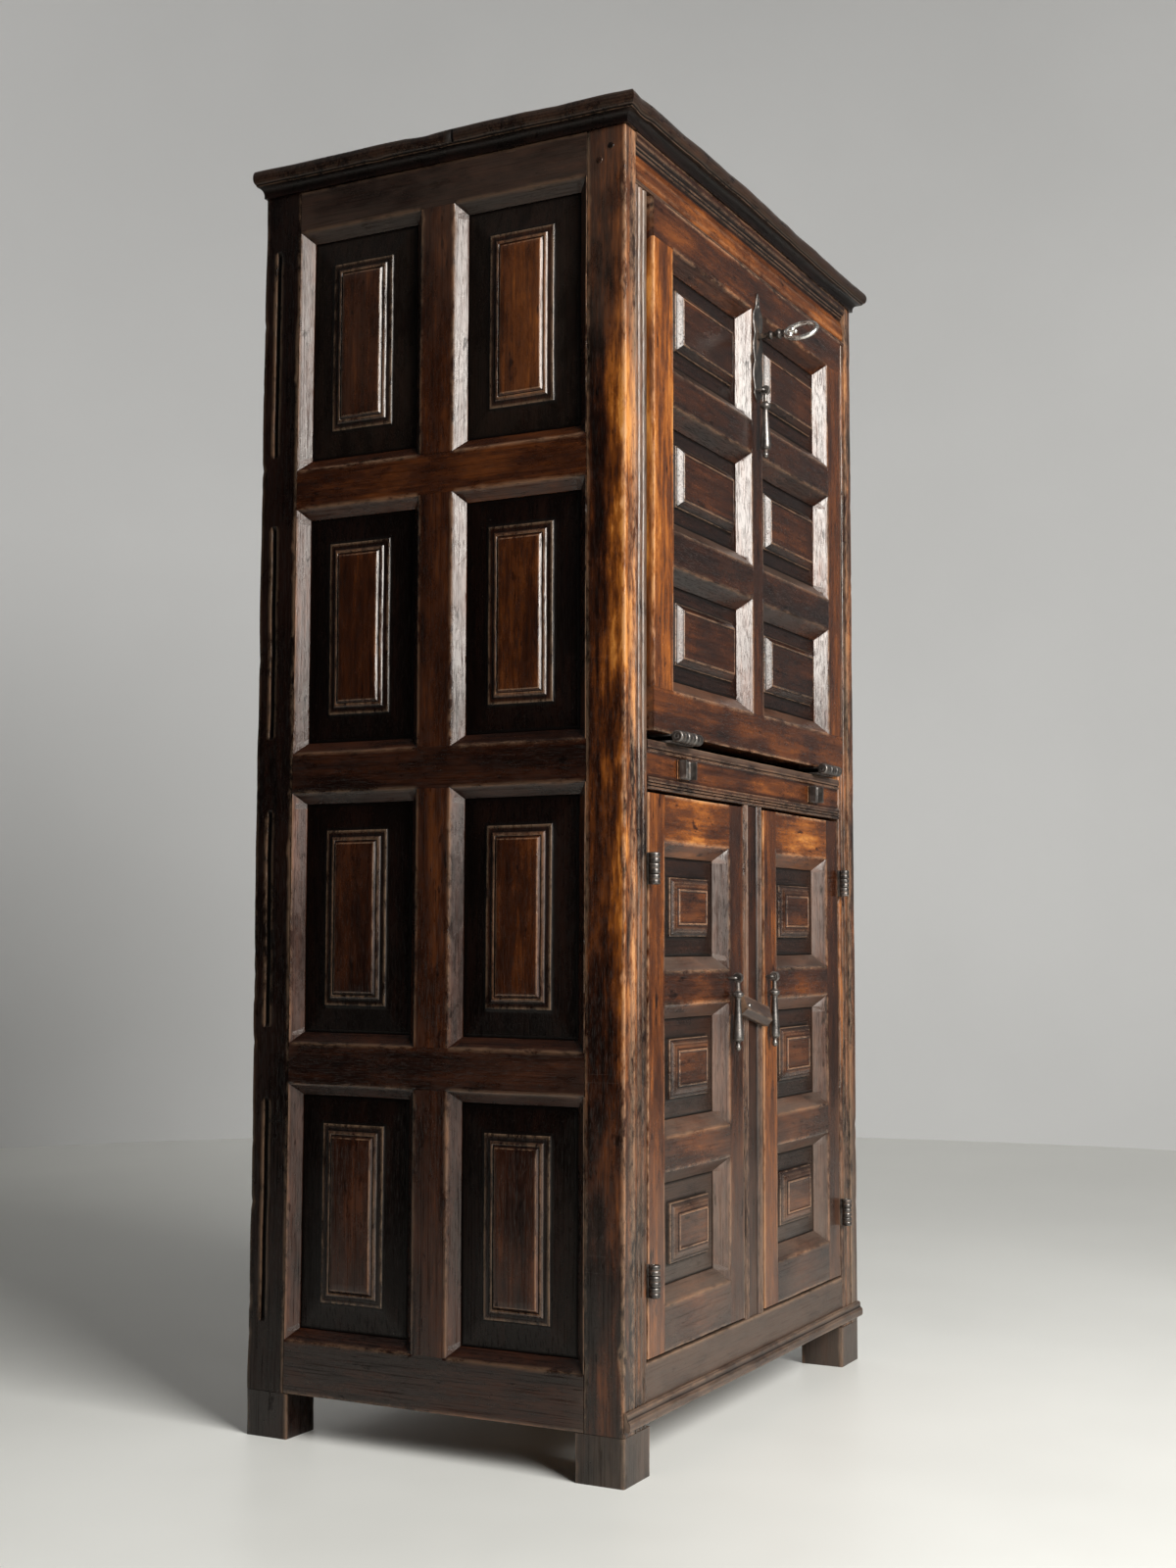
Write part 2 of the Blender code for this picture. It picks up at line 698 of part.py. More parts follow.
def bottom_rail():
    """The rail under the doors, with a stop lip and the base moulding that runs on across the posts."""
    lip = DOOR_BACK + SEAT - FRONT
    back = FRONT_POST_Y - SEAT
    outline = [
        (LEAF_SETBACK, BOTTOM_RAIL_LOW),
        (LEAF_SETBACK, BOTTOM_RAIL_TOP),
        (lip, BOTTOM_RAIL_TOP),
        (lip, BOTTOM_RAIL_TOP + STOP_LIP),
        (back, BOTTOM_RAIL_TOP + STOP_LIP),
        (back, BOTTOM_RAIL_LOW),
    ]
    mesh = rail(bmesh.new(), outline, BAY_HALF - SEAT)
    bottom = add_part("bottom_rail", mesh, "carcass", DARK_WOOD)
    proud = BASE_MOULDING_PROUD
    low = BOTTOM_RAIL_LOW
    high = low + BASE_MOULDING_HEIGHT
    moulding = [
        (-proud * 0.75, low),
        (-proud, low + proud / 4),
        (-proud, low + BASE_MOULDING_HEIGHT / 2),
        (-proud * 0.6, low + BASE_MOULDING_HEIGHT * 0.6),
        (-proud * 0.6, high - proud / 4),
        (-proud * 0.3, high),
        (-SEAT, high),
        (-SEAT, low),
    ]
    combine(bottom, rail(bmesh.new(), moulding, HALF_WIDTH), "carcass", "UNION")
    tie_low = low + proud / 4
    tie_high = high - proud / 4
    tie = [(-proud / 4, tie_low), (-proud / 4, tie_high), (lip, tie_high), (lip, tie_low)]
    combine(bottom, rail(bmesh.new(), tie, BAY_HALF - 2 * SEAT), "carcass", "UNION")


def centre_muntin():
    """The fixed upright between the doors: beads at its edges and a stop lip behind each door."""
    half = CENTRE_MUNTIN / 2
    lip = DOOR_BACK + SEAT
    back = BAY_FRONT - SEAT
    face = LEAF_FACE
    bead = CENTRE_BEAD
    right = [
        (half - bead, face + REED_DEPTH),
        (half - bead * 0.85, face + REED_DEPTH * 0.3),
        (half - bead * 0.65, face),
        (half - bead * 0.50, face + REED_DEPTH * 0.6),
        (half - bead * 0.35, face),
        (half - bead * 0.10, face + REED_DEPTH * 0.3),
        (half, face + REED_DEPTH),
        (half, lip),
        (half + STOP_LIP, lip),
        (half + STOP_LIP, back),
    ]
    outline = right + [(-x, y) for x, y in reversed(right)]
    low = BOTTOM_RAIL_TOP + SEAT
    mesh = upright(bmesh.new(), outline, low, MIDDLE_RAIL_LOW - SEAT)
    muntin = add_part("centre_muntin", mesh, "carcass", DARK_WOOD)
    lips = bmesh.new()
    side = half + STOP_LIP + OVERSHOOT
    slack = 2 * SEAT
    for z0, z1 in ((low, low + STOP_LIP), (MIDDLE_RAIL_LOW - SEAT - STOP_LIP, MIDDLE_RAIL_LOW)):
        box(lips, (-side, lip - SEAT - slack, z0 - slack), (side, back + OVERSHOOT, z1 + slack))
    combine(muntin, lips, "carcass", "DIFFERENCE")


def top_board():
    """The top, with a cornice moulding mitred round its edge: a fillet, a cove and a thick round."""
    low = CARCASS_TOP + SEAT
    cove_low = low + CORNICE_FILLET
    round_low = low + CORNICE_HEIGHT * 0.45
    steps = [(CORNICE_FILLET, low), (CORNICE_FILLET, cove_low)]
    cove_out = CORNICE_OVERHANG * 0.75
    for i in range(1, CORNICE_STEPS + 1):
        turn = math.pi / 2 * i / CORNICE_STEPS
        out = CORNICE_FILLET + (cove_out - CORNICE_FILLET) * (1 - math.cos(turn))
        steps.append((out, cove_low + (round_low - CORNICE_FILLET / 2 - cove_low) * math.sin(turn)))
    middle = (round_low + CORNICE_TOP) / 2
    rise = (CORNICE_TOP - round_low) / 2
    for i in range(CORNICE_STEPS + 1):
        turn = math.pi * (i / CORNICE_STEPS - 0.5)
        out = cove_out + (CORNICE_OVERHANG - cove_out) * math.cos(turn)
        steps.append((out, middle + rise * math.sin(turn)))
    loops = []
    for out, z in steps:
        x = HALF_WIDTH + out
        front = FRONT - out
        rear = REAR + out * CORNICE_REAR_SHARE
        corners = ((-x, front), (x, front), (x, rear), (-x, rear))
        loops.append([Vector((cx, cy, z)) for cx, cy in corners])
    add_part("top_board", loft(bmesh.new(), loops), "carcass", DARK_WOOD)


def back_boards():
    """Upright boards between the rear posts, with a groove at each joint."""
    half = HALF_WIDTH - REAR_POST_X - SEAT
    pitch = 2 * half / BACK_BOARD_COUNT
    rear = BACK_FRONT + BACK_THICKNESS
    outline = [(-half, BACK_FRONT), (half, BACK_FRONT), (half, rear)]
    for joint in range(BACK_BOARD_COUNT - 1, 0, -1):
        x = -half + joint * pitch
        outline += [(x + BACK_GROOVE / 2, rear), (x, rear - BACK_GROOVE), (x - BACK_GROOVE / 2, rear)]
    outline.append((-half, rear))
    mesh = upright(bmesh.new(), outline, FOOT_HEIGHT, CARCASS_TOP)
    add_part("back_boards", mesh, "carcass", PLAIN_WOOD)


def inner_board(name, low, high):
    """A level board across the inside, notched round the rear posts."""
    half = HALF_WIDTH - SIDE_THICKNESS - SIDE_SHEET - 2 * SEAT
    front = BAY_FRONT + SEAT
    rear = BACK_FRONT - SEAT
    notch_x = HALF_WIDTH - REAR_POST_X - SEAT
    notch_y = BAY_REAR - SEAT
    outline = [(-half, front), (half, front), (half, notch_y), (notch_x, notch_y), (notch_x, rear)]
    outline += [(-notch_x, rear), (-notch_x, notch_y), (-half, notch_y)]
    add_part(name, upright(bmesh.new(), outline, low, high), "carcass", PLAIN_WOOD)


def leaf_frame(name, body, face, low, high, thickness, rects):
    """A framed leaf with a chamfer round every opening and a rebate behind for its panel."""
    mesh = box(bmesh.new(), (low[0], face, low[1]), (high[0], face + thickness, high[1]))
    frame = add_part(name, mesh, body, WARM_WOOD)
    ledge = thickness - PANEL_LIP_THICKNESS - SEAT
    lip = FRONT_CHAMFER - PANEL_LIP
    steps = (
        (-OVERSHOOT, -OVERSHOOT),
        (FRONT_CHAMFER, FRONT_CHAMFER),
        (FRONT_CHAMFER, ledge),
        (lip, ledge),
        (lip, thickness + OVERSHOOT),
    )
    holes = bmesh.new()
    for rect in rects:
        nested(holes, on_front(face), rect, steps)
    combine(frame, holes, body, "DIFFERENCE")
    return frame


def leaf_panel(name, body, face, rect, thickness, relief):
    """A raised panel that fills an opening from behind, held by its lip."""
    edge = FRONT_CHAMFER + PANEL_CLEARANCE
    lip = edge - PANEL_LIP
    low = FRONT_CHAMFER + PANEL_SINK
    ledge = thickness - PANEL_LIP_THICKNESS
    steps = [(lip, thickness), (lip, ledge), (edge, ledge)]
    steps += [(edge + inset, low - rise) for inset, rise in relief]
    add_part(name, nested(bmesh.new(), on_front(face), rect, steps), body, PANEL_WOOD)


def fall():
    low = (-FALL_HALF, FALL_LOW)
    high = (FALL_HALF, FALL_TOP)
    edges = (FALL_STILE, FALL_BOTTOM_RAIL, FALL_STILE, FALL_TOP_RAIL)
    rects = openings(low, high, 2, len(FALL_ROWS), edges, FALL_MUNTIN, FALL_CROSS_RAIL)
    frame = leaf_frame("fall_frame", "fall", FALL_FACE, low, high, FALL_THICKNESS, rects)
    hole_radius = KEY_RADIUS + 3 * KEYHOLE_CLEARANCE
    through = ((hole_radius, -OVERSHOOT), (hole_radius, FALL_THICKNESS + OVERSHOOT))
    inward = Matrix.Translation(KEY_AXIS) @ Matrix.Rotation(-math.pi / 2, 4, "X")
    combine(frame, turned(bmesh.new(), through, HINGE_SIDES, inward), "fall", "DIFFERENCE")
    for index, rect in enumerate(rects):
        name = f"fall_panel_{FALL_ROWS[index // 2]}_{('left', 'right')[index % 2]}"
        leaf_panel(name, "fall", FALL_FACE, rect, FALL_THICKNESS, FALL_RELIEF)


def door(side):
    sign = SIDES[side]
    body = f"{side}_door"
    across = sorted((sign * DOOR_INNER, sign * DOOR_OUTER))
    low = (across[0], DOOR_LOW)
    high = (across[1], DOOR_TOP)
    edges = (DOOR_STILE, DOOR_BOTTOM_RAIL, DOOR_STILE, DOOR_TOP_RAIL)
    rects = openings(low, high, 1, len(FALL_ROWS), edges, 0, DOOR_CROSS_RAIL)
    leaf_frame(f"{side}_door_frame", body, LEAF_FACE, low, high, DOOR_THICKNESS, rects)
    for row, rect in zip(FALL_ROWS, rects):
        leaf_panel(f"{side}_door_panel_{row}", body, LEAF_FACE, rect, DOOR_THICKNESS, DOOR_RELIEF)


def hinge(name, body, matrix, radius, length, leaf, leaf_depth, fixed_face, moving_face):
    """A butt hinge with its barrel in front: the pin and outer knuckles are fixed, the middle one moves.

    Locally the axis runs along X, the leaves run back along Y, and Z goes to the moving leaf.
    """
    half = length / 2
    middle = length / 6
    shoulder = middle + HINGE_RUNNING_GAP
    collar = radius * 0.85
    ring = radius / 5
    along = matrix @ Matrix.Rotation(math.pi / 2, 4, "Y")
    end = [(collar, half), (radius, half - ring), (radius, shoulder + ring), (collar, shoulder)]
    profile = end + [(HINGE_PIN_RADIUS, shoulder)]
    profile += [(r, -t) for r, t in reversed(profile)]
    fixed = add_part(f"{name}_fixed", turned(bmesh.new(), profile, HINGE_SIDES, along), "carcass", IRON)
    clear = radius + HINGE_RUNNING_GAP
    outline = [
        (-half, 0),
        (-shoulder, 0),
        (-shoulder, clear),
        (shoulder, clear),
        (shoulder, 0),
        (half, 0),
        (half, leaf_depth),
        (-half, leaf_depth),
    ]
    low = fixed_face
    loops = [[matrix @ Vector((x, y, z)) for x, y in outline] for z in (low, low + leaf)]
    combine(fixed, loft(bmesh.new(), loops), "carcass", "UNION")
    bore = HINGE_PIN_RADIUS + HINGE_RUNNING_GAP
    tube = hollow_turned(bmesh.new(), radius, bore, -middle, middle, HINGE_SIDES, along)
    moving = add_part(f"{name}_moving", tube, body, IRON)
    start = (bore + radius) / 2
    outline = [(-middle, start), (middle, start), (middle, clear), (half, clear)]
    outline += [(half, leaf_depth), (-half, leaf_depth), (-half, clear), (-middle, clear)]
    loops = [[matrix @ Vector((x, y, z)) for x, y in outline] for z in (moving_face - leaf, moving_face)]
    combine(moving, loft(bmesh.new(), loops), body, "UNION")


def fall_hinges():
    for side, sign in SIDES.items():
        place = Vector((sign * (FALL_HALF - FALL_HINGE_INSET), FALL_AXIS.y, FALL_AXIS.z))
        hinge(
            f"fall_hinge_{side}",
            "fall",
            Matrix.Translation(place),
            FALL_HINGE_RADIUS,
            FALL_HINGE_LENGTH,
            FALL_HINGE_LEAF,
            FALL_HINGE_LEAF_DEPTH + FRONT - FALL_AXIS_Y,
            MIDDLE_RAIL_TOP + SEAT - place.z,
            FALL_LOW - SEAT - place.z,
        )


def door_hinges():
    for side, sign in SIDES.items():
        for level, z in (("lower", DOOR_LOW + DOOR_HINGE_INSET), ("upper", DOOR_TOP - DOOR_HINGE_INSET)):
            place = Vector((sign * DOOR_AXIS_X, DOOR_AXIS_Y, z))
            hinge(
                f"{side}_door_hinge_{level}",
                f"{side}_door",
                Matrix.Translation(place) @ Matrix.Rotation(-sign * math.pi / 2, 4, "Y"),
                DOOR_HINGE_RADIUS,
                DOOR_HINGE_LENGTH,
                DOOR_HINGE_LEAF,
                DOOR_HINGE_LEAF_DEPTH + DOOR_HINGE_RADIUS,
                -DOOR_HINGE_GAP / 2 + SEAT,
                DOOR_HINGE_GAP / 2 - SEAT,
            )


def bolt_span():
    """The front and back of the lock bolt."""
    middle = LOCK_FRONT + LOCK_THICKNESS / 2
    return middle - BOLT_THICKNESS / 2, middle + BOLT_THICKNESS / 2


def lock():
    """The lock case behind the fall, with a well for the key's bit and a slot for the bolt."""
    mesh = box(
        bmesh.new(),
        (-LOCK_WIDTH / 2, LOCK_FRONT, LOCK_TOP - LOCK_HEIGHT),
        (LOCK_WIDTH / 2, LOCK_FRONT + LOCK_THICKNESS, LOCK_TOP),
    )
    case = add_part("lock_case", mesh, "fall", IRON)
    well_radius = KEY_BIT + KEYHOLE_CLEARANCE * 4
    well = ((well_radius, -OVERSHOOT), (well_radius, LOCK_WELL_DEPTH))
    centre = Vector((0, LOCK_FRONT, KEY_Z))
    inward = Matrix.Translation(centre) @ Matrix.Rotation(-math.pi / 2, 4, "X")
    combine(case, turned(bmesh.new(), well, HINGE_SIDES, inward), "fall", "DIFFERENCE")
    front, back = bolt_span()
    bolt_top = LOCK_TOP + BOLT_PROUD
    bolt_low = bolt_top - BOLT_LENGTH
    slot = box(
        bmesh.new(),
        (-BOLT_WIDTH / 2 - SEAT, front - SEAT, bolt_low - SEAT),
        (BOLT_WIDTH / 2 + SEAT, back + SEAT, LOCK_TOP + OVERSHOOT),
    )
    combine(case, slot, "fall", "DIFFERENCE")
    bolt = box(bmesh.new(), (-BOLT_WIDTH / 2, front, bolt_low), (BOLT_WIDTH / 2, back, bolt_top))
    add_part("lock_bolt", bolt, "lock_bolt", STEEL)


def key():
    """The key in its lock: bit, shank, collar and an open oval bow."""
    outward = Matrix.Translation(KEY_AXIS) @ Matrix.Rotation(math.pi / 2, 4, "X")
    outward = outward @ Matrix.Rotation(KEY_BOW_TILT, 4, "Z")
    inner = -FALL_THICKNESS - SEAT - LOCK_WELL_DEPTH + KEYHOLE_CLEARANCE * 2
    bow_low = KEY_REACH - KEY_BOW_LENGTH
    collar = bow_low - KEY_COLLAR_LENGTH / 2
    profile = [
        (KEY_RADIUS, inner),
        (KEY_RADIUS, collar - KEY_COLLAR_LENGTH / 2),
        (KEY_COLLAR_RADIUS, collar),
        (KEY_RADIUS, collar + KEY_COLLAR_LENGTH / 2),
        (KEY_RADIUS, bow_low + KEY_BOW_WIRE),
    ]
    obj = add_part("key", turned(bmesh.new(), profile, HINGE_SIDES, outward), "key", STEEL)
    bow_radius_x = KEY_BOW_WIDTH / 2 - KEY_BOW_WIRE
    bow_radius_z = KEY_BOW_LENGTH / 2 - KEY_BOW_WIRE
    centre = outward @ Matrix.Translation((0, 0, KEY_REACH - KEY_BOW_LENGTH / 2))
    bow = oval_ring(bmesh.new(), bow_radius_x, bow_radius_z, KEY_BOW_WIRE, 20, 8, centre)
    combine(obj, bow, "key", "UNION")
    bit = bmesh.new()
    loops = []
    for along in (inner + KEYHOLE_CLEARANCE, inner + KEYHOLE_CLEARANCE + KEY_BIT_WIDTH):
        half = KEY_BIT_THICKNESS / 2
        corners = ((0, -half), (KEY_BIT, -half), (KEY_BIT, half), (0, half))
        loops.append([outward @ Vector((x, y, along)) for x, y in corners])
    combine(obj, loft(bit, loops), "key", "UNION")


def staple(mesh, pivot, back):
    """The bent wire that a drop handle hangs on, from two legs on the face behind it."""
    path = [
        Vector((pivot.x - STAPLE_SPREAD, back, pivot.z)),
        Vector((pivot.x - STAPLE_SPREAD, pivot.y, pivot.z)),
        Vector((pivot.x + STAPLE_SPREAD, pivot.y, pivot.z)),
        Vector((pivot.x + STAPLE_SPREAD, back, pivot.z)),
    ]
    return bent_wire(mesh, path, STAPLE_RADIUS, 8)


def escutcheon():
    """A narrow scalloped plate with the keyhole and the staple of the fall's handle."""
    half_height = ESCUTCHEON_HEIGHT / 2
    edge = []
    for i in range(1, ESCUTCHEON_STEPS):
        share = i / ESCUTCHEON_STEPS
        down = ESCUTCHEON_HEIGHT * share
        wave = abs(math.cos(math.pi * ESCUTCHEON_SCALLOPS * share))
        half = (ESCUTCHEON_WAIST + (ESCUTCHEON_WIDTH - ESCUTCHEON_WAIST) * wave) / 2
        taper = min(1, down / ESCUTCHEON_TOP_TIP, (ESCUTCHEON_HEIGHT - down) / ESCUTCHEON_LOW_TIP)
        edge.append((half * taper, half_height - down))
    outline = [(0, half_height)] + edge + [(0, -half_height)] + [(-x, z) for x, z in reversed(edge)]
    middle = (ESCUTCHEON_TOP + ESCUTCHEON_LOW) / 2
    back = FALL_FACE - SEAT
    loops = [[Vector((x, y, middle + z)) for x, z in outline] for y in (back, back - ESCUTCHEON_THICKNESS)]
    plate = add_part("escutcheon", loft(bmesh.new(), loops), "fall", IRON)
    hole_radius = KEY_RADIUS + KEYHOLE_CLEARANCE
    hole = ((hole_radius, -OVERSHOOT), (hole_radius, OVERSHOOT))
    outward = Matrix.Translation(KEY_AXIS) @ Matrix.Rotation(math.pi / 2, 4, "X")
    combine(plate, turned(bmesh.new(), hole, HINGE_SIDES, outward), "fall", "DIFFERENCE")
    legs = staple(bmesh.new(), FALL_HANDLE_AXIS, back - ESCUTCHEON_THICKNESS / 2)
    combine(plate, legs, "fall", "UNION")


def drop_handle(name, body):
    """A turned iron drop under an eye."""
    pivot = PIVOTS[body]
    downward = Matrix.Translation(pivot) @ Matrix.Rotation(math.pi, 4, "X")
    reach = DROP_LENGTH - EYE_RADIUS
    profile = [(DROP_RADIUS * radius, EYE_RADIUS + reach * along) for radius, along in DROP_PROFILE]
    handle = add_part(name, turned(bmesh.new(), profile, DROP_SIDES, downward), body, IRON)
    bore = STAPLE_RADIUS + EYE_CLEARANCE
    eye = hollow_turned(
        bmesh.new(),
        EYE_RADIUS + EYE_WIRE / 2,
        bore,
        -EYE_WIRE,
        EYE_WIRE,
        DROP_SIDES,
        downward @ Matrix.Rotation(math.pi / 2, 4, "Y"),
    )
    combine(handle, eye, body, "UNION")


def handles():
    drop_handle("fall_handle", "fall_handle")
    for side in SIDES:
        body = f"{side}_handle"
        drop_handle(f"{side}_door_handle", body)
        mesh = staple(bmesh.new(), PIVOTS[body], LEAF_FACE - SEAT)
        add_part(f"{side}_handle_staple", mesh, f"{side}_door", IRON)


def turn_button():
    """A ridged wooden bar on a nail in the left door's meeting stile, lapping over the muntin."""
    half = BUTTON_WIDTH / 2
    base = -BUTTON_CLEARANCE
    section = [(-half, base), (half, base), (half, -BUTTON_EDGE)]
    section += [(-half * 0.4, -BUTTON_RIDGE), (-half, -BUTTON_EDGE)]
    tilt = Matrix.Translation(BUTTON_AXIS) @ Matrix.Rotation(BUTTON_TILT, 4, "Y")
    slope = BUTTON_END_SLOPE / BUTTON_RIDGE
    loops = []
    for end, inward in ((-BUTTON_TAIL, 0), (BUTTON_REACH, -slope)):
        loops.append([tilt @ Vector((end + inward * max(0, -y - BUTTON_EDGE), y, z)) for z, y in section])
    bar = add_part("turn_button", loft(bmesh.new(), loops), "turn_button", DARK_WOOD)
    dome = NAIL_RADIUS / 2
    nail = ((NAIL_RADIUS, SEAT), (NAIL_RADIUS, BUTTON_RIDGE), (dome, BUTTON_RIDGE + dome))
    outward = tilt @ Matrix.Rotation(math.pi / 2, 4, "X")
    combine(bar, turned(bmesh.new(), nail, HINGE_SIDES, outward), "turn_button", "UNION")


def loper(side):
    """A wooden slide in the middle rail, with a bent iron pull on its head."""
    sign = SIDES[side]
    body = f"{side}_loper"
    half = LOPER_WIDTH / 2
    head = FRONT + BAND_RECESS / 2
    x = sign * LOPER_X
    bar = box(bmesh.new(), (x - half, head, LOPER_LOW), (x + half, head + LOPER_LENGTH, LOPER_TOP))
    add_part(body, bar, body, WARM_WOOD)
    outer = PULL_WIDTH / 2
    inner = outer - PULL_STRAP
    back = head - SEAT
    web = back - PULL_STRAP
    tip = back - PULL_REACH
    outline = [(-outer, back), (outer, back), (outer, tip), (inner, tip), (inner, web)]
    outline += [(-inner, web), (-inner, tip), (-outer, tip)]
    low = (LOPER_LOW + LOPER_TOP - PULL_HEIGHT) / 2
    mesh = upright(bmesh.new(), [(x + u, y) for u, y in outline], low, low + PULL_HEIGHT)
    pull = add_part(f"{body}_pull", mesh, body, IRON)
    root = -PULL_STRAP / 2
    rivet = ((RIVET_RADIUS, root), (RIVET_RADIUS, RIVET_HEIGHT / 2), (RIVET_RADIUS / 2, RIVET_HEIGHT))
    centre = Vector((x, web, low + PULL_HEIGHT / 2))
    outward = Matrix.Translation(centre) @ Matrix.Rotation(math.pi / 2, 4, "X")
    combine(pull, turned(bmesh.new(), rivet, HINGE_SIDES, outward), body, "UNION")


def build():
    clear_scene()
    add_bodies()
    for side in SIDES:
        front_post(side)
        rear_post(side)
        side_frame(side)
        side_panels(side, 0, "front")
        side_panels(side, 1, "rear")
    frieze_rail()
    middle_rail()
    bottom_rail()
    centre_muntin()
    top_board()
    back_boards()
    inner_board("writing_shelf", LOPER_TOP + LOPER_CLEARANCE, MIDDLE_RAIL_TOP)
    dust_top = LOPER_LOW - LOPER_CLEARANCE
    inner_board("dust_board", dust_top - DUST_BOARD_THICKNESS, dust_top)
    floor_top = BOTTOM_RAIL_TOP - FLOOR_DROP
    inner_board("cupboard_floor", floor_top - FLOOR_THICKNESS, floor_top)
    fall()
    fall_hinges()
    lock()
    key()
    escutcheon()
    for side in SIDES:
        door(side)
        loper(side)
    door_hinges()
    handles()
    turn_button()


build()
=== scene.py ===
"""The looks of the fall-front cabinet: worn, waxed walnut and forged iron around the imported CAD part.

Each wooden piece is skinned again from the frame's own boxes, so that its edges are worn by hand and its
grain runs along every rail, stile and post. Sizes are in metres, in the frame's own axes.
"""

import math
import random

import bmesh
import bpy
from mathutils import Matrix, Vector, noise


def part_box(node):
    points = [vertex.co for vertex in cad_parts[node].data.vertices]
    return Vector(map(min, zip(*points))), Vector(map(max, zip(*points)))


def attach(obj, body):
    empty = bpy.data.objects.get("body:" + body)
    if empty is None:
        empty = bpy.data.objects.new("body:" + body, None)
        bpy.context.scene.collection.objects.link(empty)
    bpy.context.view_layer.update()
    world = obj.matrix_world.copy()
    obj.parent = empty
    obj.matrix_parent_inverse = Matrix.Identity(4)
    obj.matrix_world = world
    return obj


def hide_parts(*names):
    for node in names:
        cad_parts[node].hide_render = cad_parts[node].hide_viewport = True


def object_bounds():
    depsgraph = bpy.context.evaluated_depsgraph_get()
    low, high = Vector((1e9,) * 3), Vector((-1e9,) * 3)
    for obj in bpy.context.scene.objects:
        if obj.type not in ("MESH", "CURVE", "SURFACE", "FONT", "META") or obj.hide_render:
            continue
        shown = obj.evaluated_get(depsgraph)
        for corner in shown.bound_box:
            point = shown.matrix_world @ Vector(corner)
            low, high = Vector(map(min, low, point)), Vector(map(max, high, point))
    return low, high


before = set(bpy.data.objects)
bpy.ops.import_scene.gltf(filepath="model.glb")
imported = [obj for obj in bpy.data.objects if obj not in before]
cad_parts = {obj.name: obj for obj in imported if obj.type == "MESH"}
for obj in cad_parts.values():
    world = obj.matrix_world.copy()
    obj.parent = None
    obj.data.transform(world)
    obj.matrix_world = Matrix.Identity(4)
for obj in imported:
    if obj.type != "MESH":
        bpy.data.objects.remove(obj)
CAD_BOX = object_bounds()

random.seed(1690)
QUARTER = math.pi / 2

# Places read from the frame
SEAT = 0.0003
FALL_GAP = 0.003
DOOR_GAP = 0.004
DOOR_AXIS_GAP = 0.0025
POST_LOW, POST_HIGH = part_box("front_left_post")
SIDE_LOW, SIDE_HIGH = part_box("left_side_frame")
FALL_LOW, FALL_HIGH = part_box("fall_frame")
DOOR_LOW, DOOR_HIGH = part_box("left_door_frame")
BAY_HALF, _, MIDDLE_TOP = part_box("middle_rail")[1]
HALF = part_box("front_right_post")[1].x
FRONT, TOP = POST_LOW.y, POST_HIGH.z
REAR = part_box("rear_left_post")[1].y
FOOT, BAY_FRONT, BAY_REAR = SIDE_LOW.z, SIDE_LOW.y, SIDE_HIGH.y
FALL_FACE, LEAF_FACE = FALL_LOW.y, DOOR_LOW.y
FRIEZE_LOW = FALL_HIGH.z + FALL_GAP
MIDDLE_LOW = DOOR_HIGH.z + DOOR_GAP
BOTTOM_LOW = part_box("bottom_rail")[0].z
BOTTOM_TOP = DOOR_LOW.z - DOOR_GAP
FALL_AXIS_Z = FALL_LOW.z - FALL_GAP
DOOR_AXIS_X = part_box("right_door_frame")[1].x + DOOR_AXIS_GAP
BUTTON_AXIS = Vector((DOOR_HIGH.x - 0.016, LEAF_FACE, DOOR_HIGH.z - 0.272))
SIDES = {"left": -1, "right": 1}

# Worn edges and the unevenness of hand work
STEP = 0.010
FADE = 0.0035
EDGE = 0.0016
ROUND_SHARES = (0.0, 0.7, 1.0, 0.7, 0.0)
SAG_SMALL, SMALL_WAVE = 0.00035, 0.07
SAG_LARGE, LARGE_WAVE = 0.0007, 0.31
WEAR_WAVE = 0.060
CHIP_WAVE = 0.017
CHIP_RARE = 0.42
SMOOTH_ANGLE = math.radians(38)
JOINT = 0.0002
BACK_DEPTH = 0.008
HOLE_LOOK = (0.0, 1.0, 0.0, 0.06)

# Posts
POST_X = 0.0645
POST_Y = 0.054
POST_FLAT = 0.0285
POST_EDGE = 0.0030
REED_COUNT = 3
REED_DEPTH = 0.0035
REED_STEPS = 6
REAR_POST_X = 0.055
REAR_FOOT_X = 0.062
REAR_FOOT_Y = 0.064
FRONT_FOOT_X = 0.072
FRONT_FOOT_Y = 0.066
FOOT_EDGE = 0.0035
FOOT_SEAM = 0.0006
GROOVE_WIDTH = 0.007
GROOVE_DEPTH = 0.006
GROOVE_INSET = 0.019
GROOVE_STOP = 0.020
FRIEZE_LAP = 0.020
PEG_RADIUS = 0.0042
PEGS = ((0.020, 0.024), (0.036, 0.040))

# Sides. A relief is each step's distance in from the panel's edge and its rise.
SIDE_THICKNESS = 0.024
SIDE_EDGES = (0.001, 0.068, 0.001, 0.057)
SIDE_CROSS = 0.053
SIDE_MUNTIN = 0.050
SIDE_ROWS = 4
SIDE_CHAMFER = 0.014
SIDE_TONES = (0.20, 0.41, 0.27, 0.28, 0.28)
SIDE_RELIEF = (
    (0.0000, 0.0000), (0.0350, 0.0050), (0.0362, 0.0072), (0.0440, 0.0068),
    (0.0452, 0.0085), (0.0470, 0.0098), (0.0488, 0.0098), (0.0500, 0.0084),
    (0.0515, 0.0098), (0.0530, 0.0118), (0.0560, 0.0124),
)

